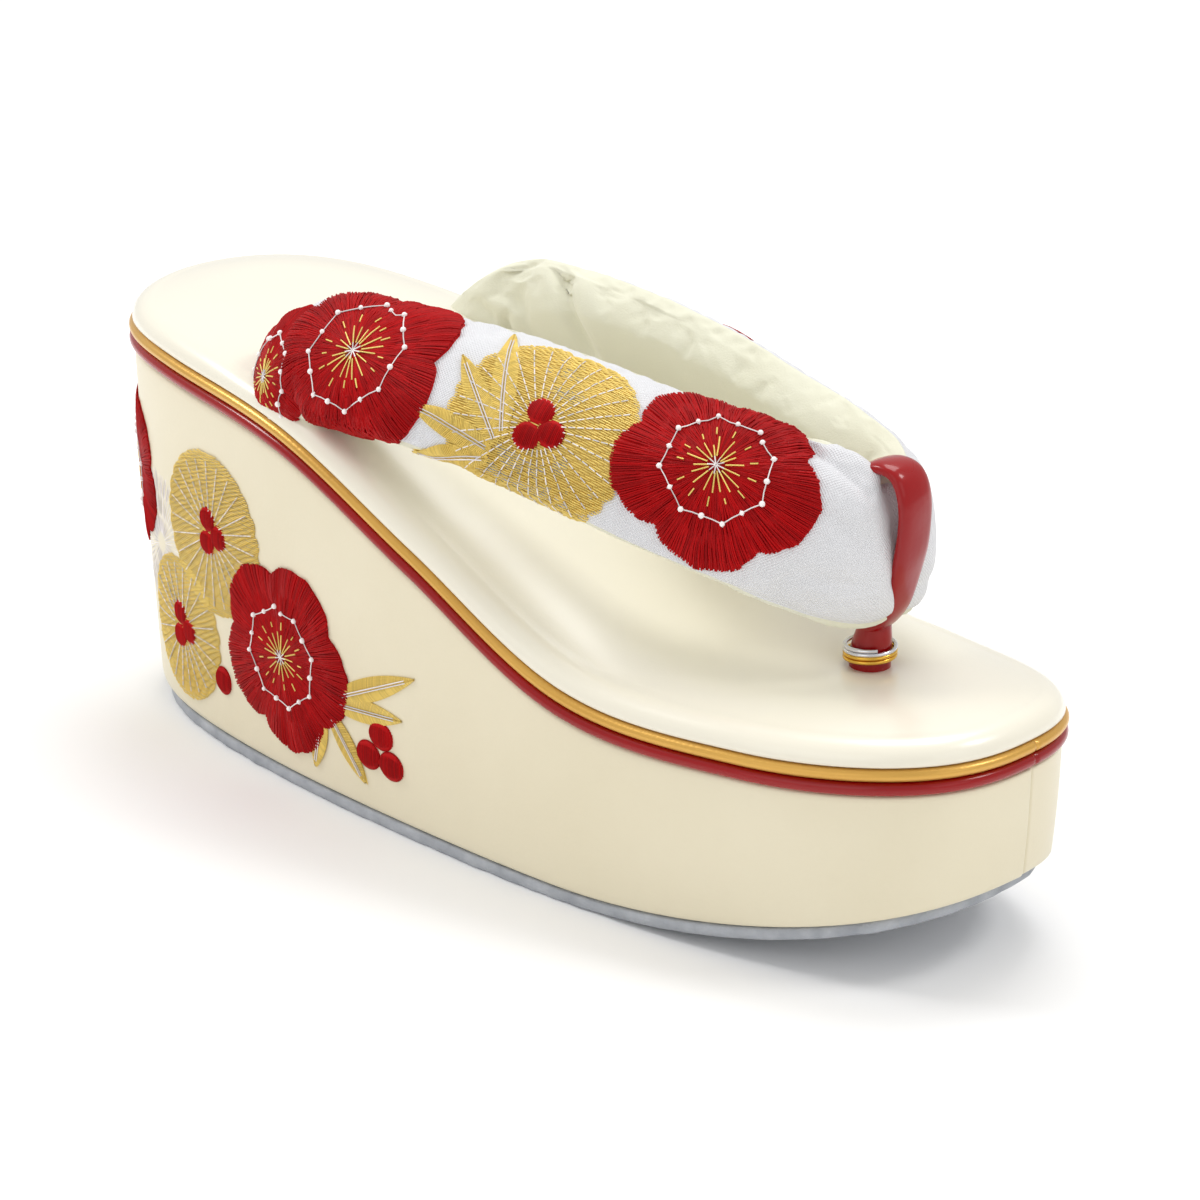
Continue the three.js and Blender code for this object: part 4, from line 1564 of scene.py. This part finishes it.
@dataclass
class Blossom(Motif):
    """A plum blossom of five lobes in long and short stitches, with a ring of white knots."""

    petals: int = 5
    turn_of_petals: float = 0.3
    ring_share: float = 0.5
    ring_gap: float = 90.0

    def edge(self, angle: np.ndarray) -> np.ndarray:
        """Returns the blossom's radius at each angle."""
        lobe = np.abs(np.sin(self.petals / 2 * (angle - self.turn_of_petals)))
        ripple = 1 + 0.008 * np.sin(17 * angle + 1.3) + 0.005 * np.sin(29 * angle)
        return self.size * (0.82 + 0.18 * lobe**0.65) * ripple

    def work_on(self, work: Work, rng: np.random.Generator) -> None:
        """Works the blossom."""
        angle = np.linspace(0, 2 * math.pi, 120, endpoint=False)
        self.pad(work, Yarn.RED, polar(self.edge(angle), angle), 0.55)
        rows = ((1.0, 0.62, 0.95), (0.78, 0.4, 0.72), (0.52, 0.1, 0.46))
        for outer, inner, middle in rows:
            count = int(2 * math.pi * self.size * middle / (self.thread * 1.12))
            turn = np.linspace(0, 2 * math.pi, count, endpoint=False) + rng.normal(0, 0.006, count)
            edge = self.edge(turn)
            jitter = 0.0 if outer == 1.0 else 0.07
            start = edge * (outer + rng.uniform(-jitter, jitter * 0.6, count) - 0.015 * rng.random(count))
            end = edge * (inner + rng.uniform(-0.06, 0.06, count))
            share = np.linspace(0, 1, 5)
            radius = start[:, None] * (1 - share) + end[:, None] * share
            lift = 0.55 + 0.2 * np.sin(math.pi * share)
            rim = np.sqrt(np.clip(1 - (radius / edge[:, None]) ** 6, 0, 1))
            self.sew(work, Yarn.RED, polar(radius, turn[:, None]), lift * (0.2 + 0.8 * rim), rng)
        self.work_heart(work, rng)

    def work_heart(self, work: Work, rng: np.random.Generator) -> None:
        """Works the stamens, the white ring and its knots."""
        for count, first, reach in ((18, 0.07, (0.13, 0.22)), (13, 0.29, (0.05, 0.09))):
            turn = np.linspace(0, 2 * math.pi, count, endpoint=False) + rng.normal(0, 0.05, count)
            long = self.size * rng.uniform(*reach, count)
            share = np.linspace(0, 1, 4)
            radius = self.size * (first + rng.uniform(-0.02, 0.02, count))[:, None] + long[:, None] * share
            self.sew(work, Yarn.GOLD, polar(radius, turn[:, None]), np.full(radius.shape, 0.92), rng)
        turn = np.linspace(0, 2 * math.pi, 9, endpoint=False)
        star = polar(self.size * np.array([[0.005, 0.04, 0.08]]), turn[:, None])
        self.sew(work, Yarn.WHITE, star, np.full(star.shape[:2], 1.05), rng)
        knots = 16
        gap = math.radians(self.ring_gap)
        place = gap + np.linspace(0.1, 2 * math.pi - 0.1, knots)
        ring = self.size * (self.ring_share + 0.025 * np.cos(math.pi * np.arange(knots)))
        spots = polar(ring, place)
        self.knot(work, Yarn.WHITE, spots, 1.0)
        between = place[:-1] + np.diff(place) / 2
        bend = polar((ring[:-1] + ring[1:]) / 2 - 0.35, between)
        lines = np.stack([spots[:-1], bend, spots[1:]], axis=1)
        self.sew(work, Yarn.WHITE, lines, np.full(lines.shape[:2], 0.95), rng)
        ticks = np.stack([polar(ring - 0.55, place), polar(ring + 0.55, place)], axis=1)
        self.sew(work, Yarn.WHITE, ticks, np.full(ticks.shape[:2], 1.0), rng)


@dataclass
class Fan(Motif):
    """A pine fan in rows of couched thread under pale spokes, with berries at its heart."""

    yarn: Yarn = Yarn.GOLD
    spokes: int = 32
    row_step: float = 0.46
    scallop: float = 0.045
    sweep: tuple[float, float] = (0.0, 360.0)
    berries: tuple[tuple[float, float], ...] = ((-1.0, 3.1), (-1.6, -2.4), (3.0, -0.2))
    berry: float = 2.9
    heart: tuple[float, float] = (0.0, 0.0)

    def edge(self, angle: np.ndarray) -> np.ndarray:
        """Returns the fan's radius at each angle."""
        lobe = np.abs(np.sin(self.spokes / 2 * angle))
        return self.size * (1 - self.scallop + self.scallop * lobe)

    def work_on(self, work: Work, rng: np.random.Generator) -> None:
        """Works the fan."""
        angle = np.linspace(0, 2 * math.pi, 156, endpoint=False)
        self.pad(work, self.yarn, polar(self.edge(angle), angle), 0.12)
        for number, level in enumerate(np.arange(-self.size * 0.985, self.size * 0.985, self.row_step)):
            half = math.sqrt(max(self.size**2 - level**2, 0.01))
            reach = half * float(self.edge(np.array(math.atan2(level, half)))) / self.size
            dash = 2.6
            start = np.arange(-reach + (number % 3) * dash / 3 - dash, reach, dash)
            ends = np.stack([np.clip(start, -reach, reach), np.clip(start + dash * 0.94, -reach, reach)], 1)
            ends = ends[ends[:, 1] - ends[:, 0] > 0.3]
            share = np.linspace(0, 1, 4)
            x = ends[:, :1] * (1 - share) + ends[:, 1:] * share
            spots = np.stack([x, np.full(x.shape, level) + rng.normal(0, 0.03, (len(x), 1))], axis=-1)
            lift = np.broadcast_to(0.32 + 0.2 * np.sin(math.pi * share), x.shape)
            self.sew(work, self.yarn, spots, lift, rng)
        self.work_spokes(work, rng)
        self.work_berries(work, rng)

    def work_spokes(self, work: Work, rng: np.random.Generator) -> None:
        """Works the pale spokes in short dashes."""
        low, high = (math.radians(value) for value in self.sweep)
        turn = np.linspace(low, high, self.spokes, endpoint=high - low < 6.2)
        heart = np.array(self.heart)
        tip = polar(self.edge(turn) * 0.96, turn)
        inner = heart + unit(tip - heart) * self.berry * 1.5
        marks = np.linspace(0, 1, 9)
        for first, last in zip(marks[:-1], marks[1:]):
            share = np.linspace(first, last - 0.03, 3)
            spots = inner[:, None] * (1 - share)[None, :, None] + tip[:, None] * share[None, :, None]
            self.sew(work, Yarn.WHITE, spots, np.full(spots.shape[:2], 0.66), rng)

    def work_berries(self, work: Work, rng: np.random.Generator) -> None:
        """Works the berries at the fan's heart."""
        for x, y in self.berries:
            middle = np.array([x, y]) + np.array(self.heart)
            sew_berry(self, work, middle, self.berry, self.berry, rng)


def sew_berry(motif: Motif, work: Work, middle: np.ndarray, wide: float, tall: float,
              rng: np.random.Generator) -> None:
    """Works a small round berry in satin stitch.

    Args:
        motif: The motif that it belongs to.
        work: Where it is added.
        middle: Its middle, in the motif's millimetres.
        wide: Half its width.
        tall: Half its height.
        rng: The generator of small differences.
    """
    angle = np.linspace(0, 2 * math.pi, 28, endpoint=False)
    edge = middle + np.stack([wide * np.cos(angle), tall * np.sin(angle)], axis=1)
    motif.pad(work, Yarn.RED, edge, 0.95)
    x = np.arange(-wide * 0.97, wide * 0.97, motif.thread)
    half = tall * np.sqrt(1 - (x / wide) ** 2)
    share = np.linspace(-1, 1, 6)
    spots = np.stack([middle[0] + np.broadcast_to(x[:, None], (len(x), 6)),
                      middle[1] + half[:, None] * share], axis=-1)
    lift = 0.25 + 0.85 * np.sqrt(np.clip(1 - share**2, 0, 1)) * np.sqrt(1 - (x[:, None] / wide) ** 2)
    motif.sew(work, Yarn.RED, spots, lift, rng)


@dataclass
class Berry(Motif):
    """A berry on its own, in satin stitch."""

    tall: float = 2.4

    def work_on(self, work: Work, rng: np.random.Generator) -> None:
        """Works the berry."""
        sew_berry(self, work, np.zeros(2), self.size, self.tall, rng)


@dataclass
class Leaf(Motif):
    """A slim bamboo leaf in slanting gold stitches on both sides of a white vein."""

    breadth: float = 5.0
    slant: float = 0.5

    def half_breadth(self, share: np.ndarray) -> np.ndarray:
        """Returns half the leaf's breadth from its foot, 0, to its tip, 1."""
        return self.breadth / 2 * np.sin(math.pi * np.clip(share, 0, 1) ** 0.8) ** 0.8

    def work_on(self, work: Work, rng: np.random.Generator) -> None:
        """Works the leaf, from its foot at the motif's middle."""
        share = np.linspace(0, 1, 26)
        half = self.half_breadth(share)
        right = np.stack([share * self.size, half], axis=1)
        left = np.stack([share * self.size, -half], axis=1)[::-1]
        self.pad(work, Yarn.GOLD, np.concatenate([right, left[1:-1]]), 0.35)
        foot = np.arange(0.01, 0.97, self.thread * 1.15 / self.size)
        for side in (1.0, -1.0):
            reach = self.half_breadth(foot + 0.05)
            step = np.linspace(0, 1, 4)
            x = foot[:, None] * self.size + step * reach[:, None] * self.slant
            y = side * (0.12 + step * reach[:, None])
            lift = np.broadcast_to(0.4 + 0.2 * np.sin(math.pi * step), x.shape)
            self.sew(work, Yarn.GOLD, np.stack([x, y], axis=-1), lift, rng)
        vein = np.linspace(0.06, 0.86, 7) * self.size
        for off in (-0.28, 0.28):
            line = np.stack([vein, np.full(7, off)], axis=1)[None]
            self.sew(work, Yarn.WHITE, line, np.full((1, 7), 0.72), rng)


@dataclass
class Spray(Motif):
    """A spray of pale needles in loose stitches."""

    sweep: tuple[float, float] = (0.0, 360.0)
    needles: int = 70

    def work_on(self, work: Work, rng: np.random.Generator) -> None:
        """Works the spray."""
        low, high = (math.radians(value) for value in self.sweep)
        for start, end in ((0.12, 0.42), (0.38, 0.72), (0.66, 1.0)):
            count = int(self.needles * (0.4 + end))
            turn = np.linspace(low, high, count) + rng.normal(0, 0.01, count)
            share = np.linspace(start, end, 4)
            radius = self.size * share[None, :] * (1 + rng.uniform(-0.03, 0.03, (count, 1)))
            lift = np.broadcast_to(0.12 + 0.15 * np.sin(math.pi * np.linspace(0, 1, 4)), radius.shape)
            self.sew(work, Yarn.WHITE, polar(radius, turn[:, None]), lift, rng)


@dataclass
class Embroidery:
    """The embroidery of one part of the shoe."""

    part: str
    motifs: list[Motif]
    slot: str
    seed: int = SEED
    radii: dict[Yarn, float] = field(
        default_factory=lambda: {Yarn.RED: 0.2, Yarn.GOLD: 0.17, Yarn.WHITE: 0.14}
    )
    knot_radius: float = 0.55

    def make(self, finishes: dict[Yarn, bpy.types.Material], threads: NodeRecipe,
             knots: NodeRecipe) -> list[bpy.types.Object]:
        """Works all the motifs.

        Args:
            finishes: The material of each thread.
            threads: The tree that sweeps threads.
            knots: The tree that sets knots.

        Returns:
            The pieces, one for each thread's ground, stitches and knots.
        """
        work = Work()
        rng = np.random.default_rng(self.seed)
        for motif in self.motifs:
            motif.work_on(work, rng)
        pieces = []
        for yarn in Yarn:
            if work.pads[yarn]:
                pieces.append(self.make_ground(yarn, work.pads[yarn], finishes[yarn]))
            if work.threads[yarn]:
                name = f"{self.part}_{yarn.value}_stitches"
                piece = line_object(name, work.threads[yarn], work.tones[yarn])
                threads.run(piece, Radius=self.radii[yarn] * MM, Sides=4, Material=finishes[yarn])
                pieces.append(piece)
            if work.knots[yarn]:
                spots = [batch[:, None] for batch in work.knots[yarn]]
                tones = [np.zeros(len(batch)) for batch in spots]
                piece = line_object(f"{self.part}_{yarn.value}_knots", spots, tones)
                knots.run(piece, Radius=self.knot_radius * MM, Seed=self.seed, Material=finishes[yarn])
                pieces.append(piece)
        return pieces

    def make_ground(self, yarn: Yarn, pads: list[np.ndarray],
                    finish: bpy.types.Material) -> bpy.types.Object:
        """Makes one piece of the raised grounds under a thread's stitches, and returns it."""
        maker = MeshMaker(f"{self.part}_{yarn.value}_ground")
        for rings in pads:
            closing = np.repeat(rings[-1:].mean(axis=1, keepdims=True), rings.shape[1], axis=1)
            maker.add_grid(np.concatenate([rings[:1], rings, closing]))
        piece = maker.build([finish])
        return piece


# ---- stage --------------------------------------------------------------------------------------------


@dataclass
class Studio:
    """The camera, the lights and the floor."""

    azimuth: float = -48.46
    elevation: float = 20.64
    roll: float = 0.65
    distance: float = 0.7544
    pivot: tuple[float, float, float] = (0.02298, -0.01309, 0.05)
    aim: tuple[float, float, float] = (0.006, -0.007, 0.044)
    lens: float = 108.0
    shift: tuple[float, float] = (0.0, 0.0)
    keys: tuple[tuple[str, tuple[float, float, float], float, float], ...] = (
        ("overhead_softbox", (0.40, 0.18, 1.15), 0.62, 5.6),
        ("rear_softbox", (-0.43, 0.80, 0.93), 0.32, 4.4),
        ("toe_softbox", (0.42, -0.68, 1.0), 0.28, 2.9),
        ("left_softbox", (-1.1, -0.15, 0.55), 0.7, 1.2),
        ("front_softbox", (-0.25, -1.2, 0.6), 0.7, 0.9),
    )
    floor_size: float = 8.0
    world_strength: float = 0.67

    def back(self) -> Vector:
        """Returns the direction from the shoe to the camera."""
        a, e = math.radians(self.azimuth), math.radians(self.elevation)
        return Vector((math.sin(a) * math.cos(e), -math.cos(a) * math.cos(e), math.sin(e)))

    def make_camera(self) -> bpy.types.Object:
        """Makes the camera, aimed at the middle of the shoe, and returns it."""
        data = bpy.data.cameras.new("camera")
        camera = bpy.data.objects.new("camera", data)
        bpy.context.scene.collection.objects.link(camera)
        camera.location = Vector(self.pivot) + self.back() * self.distance
        facing = Vector(self.aim) - camera.location
        turn = facing.to_track_quat("-Z", "Y").to_matrix().to_4x4()
        turn = turn @ self.rolled()
        camera.rotation_euler = turn.to_euler()
        data.lens = self.lens
        data.shift_x, data.shift_y = self.shift
        data.dof.use_dof = False
        bpy.context.scene.camera = camera
        return camera

    def rolled(self) -> Matrix:
        """Returns the camera's roll as a matrix."""
        return Matrix.Rotation(math.radians(self.roll), 4, "Z")

    def make_lights(self) -> None:
        """Makes the soft lights and the pale surroundings."""
        for name, place, size, power in self.keys:
            data = bpy.data.lights.new(name, "AREA")
            data.size = size
            data.energy = power
            light = bpy.data.objects.new(name, data)
            light.location = place
            light.rotation_euler = (Vector(self.aim) - light.location).to_track_quat("-Z", "Y").to_euler()
            bpy.context.scene.collection.objects.link(light)
        world = bpy.data.worlds.new("studio")
        world.use_nodes = True
        sky = world.node_tree.nodes["Background"]
        sky.inputs["Color"].default_value = (1.0, 1.0, 1.0, 1.0)
        sky.inputs["Strength"].default_value = self.world_strength
        bpy.context.scene.world = world
        bpy.context.scene.view_settings.view_transform = "Standard"

    def make_floor(self, finish: bpy.types.Material) -> bpy.types.Object:
        """Makes the plain floor and returns it."""
        half = self.floor_size / 2 / MM
        corners = np.array([[[x, y, 0.0] for x in (-half, half)] for y in (-half, half)])
        maker = MeshMaker("studio_floor")
        maker.add_grid(corners, wrap=False)
        floor = maker.build([finish], closed=False)
        return floor


# ---- the shoe -----------------------------------------------------------------------------------------


def put(piece: bpy.types.Object, slot: str, *nodes: str) -> bpy.types.Object:
    """Lets a piece ride on the shoe, logs its slot and hides the frame's nodes that it stands for.

    Args:
        piece: The finished piece.
        slot: The record's material slot.
        *nodes: The nodes that it replaces.

    Returns:
        The piece.
    """
    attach(piece, "root")
    if nodes:
        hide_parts(*nodes)
    LOG.info("%s: %d faces, slot %s", piece.name, len(piece.data.polygons), slot)
    return piece


def main() -> None:
    """Builds the shoe around its frame, and the studio around the shoe."""
    logging.basicConfig(level=logging.INFO, format="%(message)s")
    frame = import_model()
    logging.info("frame: %d nodes", len(frame["nodes"]))
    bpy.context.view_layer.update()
    effects = Effects()
    studio = Studio()
    studio.make_camera()
    studio.make_lights()
    studio.make_floor(FLOOR.material(effects))

    last = Last()
    rim = Rim(last)
    sole = Sole(last, rim)
    red, gold = RED_ENAMEL.material(effects), GOLD_PIPE.material(effects)
    put(sole.make_outsole(RUBBER.material(effects)), "outsole_rubber", "outsole")
    put(sole.make_wedge(COVER.material(effects)), "wedge_cover", "wedge_body")
    red_piping = sole.make_piping("red_piping_strip", sole.gold_height, sole.red_height, red)
    put(red_piping, "red_enamel", "red_piping")
    gold_piping = sole.make_piping("gold_piping_strip", 0.0, sole.gold_height, gold)
    put(gold_piping, "gold_piping", "gold_piping")
    put(sole.make_insole(PEARL.material(effects)), "insole_leather", "insole")

    strap = Strap(last)
    band = strap.make(CLOTH.material(effects), LINING.material(effects))
    put(band, "strap_cloth", "hanao_strap")

    threads, knots = thread_recipe(), knot_recipe()
    thong_floor = float(last.top_line(np.array(sole.thong_place[1]))) + 6.45
    thong = Thong(thong_floor)
    put(thong.make(red), "red_enamel", "front_thong")
    for name, first, turns, finish in (("gold_wire_coil", 0.0, 2.2, GOLD_WIRE),
                                       ("silver_wire_coil", 2.2, 1.3, SILVER_WIRE)):
        line = thong.coil_line(first, turns)[None]
        piece = line_object(name, [line], [np.zeros(1)])
        material = finish.material(effects)
        threads.run(piece, Radius=thong.wire_radius * MM, Sides=10, Material=material)
        put(piece, "gold_wire", *(["thong_ring"] if first == 0.0 else []))

    finishes = {
        Yarn.RED: RED_THREAD.material(effects),
        Yarn.GOLD: GOLD_THREAD.material(effects),
        Yarn.WHITE: WHITE_THREAD.material(effects),
    }
    band_patch = strap.patch()
    wall_patch = sole.wall_patch((-10.0, 150.0))
    for embroidery in (strap_embroidery(band_patch), wall_embroidery(wall_patch)):
        for piece in embroidery.make(finishes, threads, knots):
            put(piece, embroidery.slot)


def leaves(patch: Patch, root: tuple[float, float], tips: Iterable[tuple[float, float]]) -> list[Motif]:
    """Lays out bamboo leaves.

    Args:
        patch: The surface that they lie on.
        root: The spot that they spread from.
        tips: The spots that they reach to.

    Returns:
        One leaf for each tip.
    """
    motifs = []
    for along, across in tips:
        run = (along - root[0], across - root[1])
        turn = math.degrees(math.atan2(run[1], run[0]))
        start = (root[0] + 0.12 * run[0], root[1] + 0.12 * run[1])
        motifs.append(Leaf(Hoop(patch, *start, turn), 0.88 * math.hypot(*run)))
    return motifs


def strap_embroidery(patch: Patch) -> Embroidery:
    """Lays out the embroidery of the strap.

    Args:
        patch: The band's face.

    Returns:
        The embroidery, ready to be worked.
    """
    outer = leaves(patch, (87.5, -12.0), ((74.5, 15.5), (69.0, 5.0), (63.0, -8.0), (61.0, -20.5)))
    inner = leaves(patch, (262.0, 2.0), ((289.0, -5.0), (292.0, 0.5), (287.0, 5.0), (276.0, 6.5)))
    motifs = [
        Blossom(Hoop(patch, 16.0, -4.5), 17.5, turn_of_petals=0.4),
        Fan(Hoop(patch, 92.0, -3.8), 20.3),
        *outer,
        Blossom(Hoop(patch, 45.0, -0.5, stretch=1.04), 22.5, base=0.45, turn_of_petals=0.1),
        Blossom(Hoop(patch, 128.0, 4.0, stretch=1.1), 19.8, base=0.45, turn_of_petals=0.5, ring_gap=60.0),
        *inner,
        Blossom(Hoop(patch, 257.0, -1.0), 12.5, turn_of_petals=0.7),
    ]
    return Embroidery("strap", motifs, "strap_cloth")


def wall_embroidery(patch: Patch) -> Embroidery:
    """Lays out the embroidery of the wedge's wall.

    Args:
        patch: The wall, round the heel and along the little-toe side.

    Returns:
        The embroidery, ready to be worked.
    """
    berries = [Berry(Hoop(patch, along, across), 3.6, tall=3.2)
               for along, across in ((130.0, 21.5), (125.8, 16.0), (132.8, 15.5))]
    motifs = [
        Spray(Hoop(patch, 48.0, 40.0), 17.0),
        Fan(Hoop(patch, 58.0, 23.5), 16.5, spokes=22),
        Fan(Hoop(patch, 73.5, 50.0), 18.5, spokes=24),
        Blossom(Hoop(patch, 29.0, 53.0), 18.5, base=0.3, turn_of_petals=0.2),
        *leaves(patch, (112.0, 24.0), ((142.0, 38.0), (137.5, 27.0), (125.0, 8.5), (108.0, 7.0))),
        Blossom(Hoop(patch, 99.0, 30.0), 21.5, base=0.45, turn_of_petals=0.5),
        Berry(Hoop(patch, 75.0, 16.5), 2.9, tall=3.2),
        *berries,
    ]
    return Embroidery("wedge", motifs, "wedge_cover")


if __name__ == "__main__":
    main()
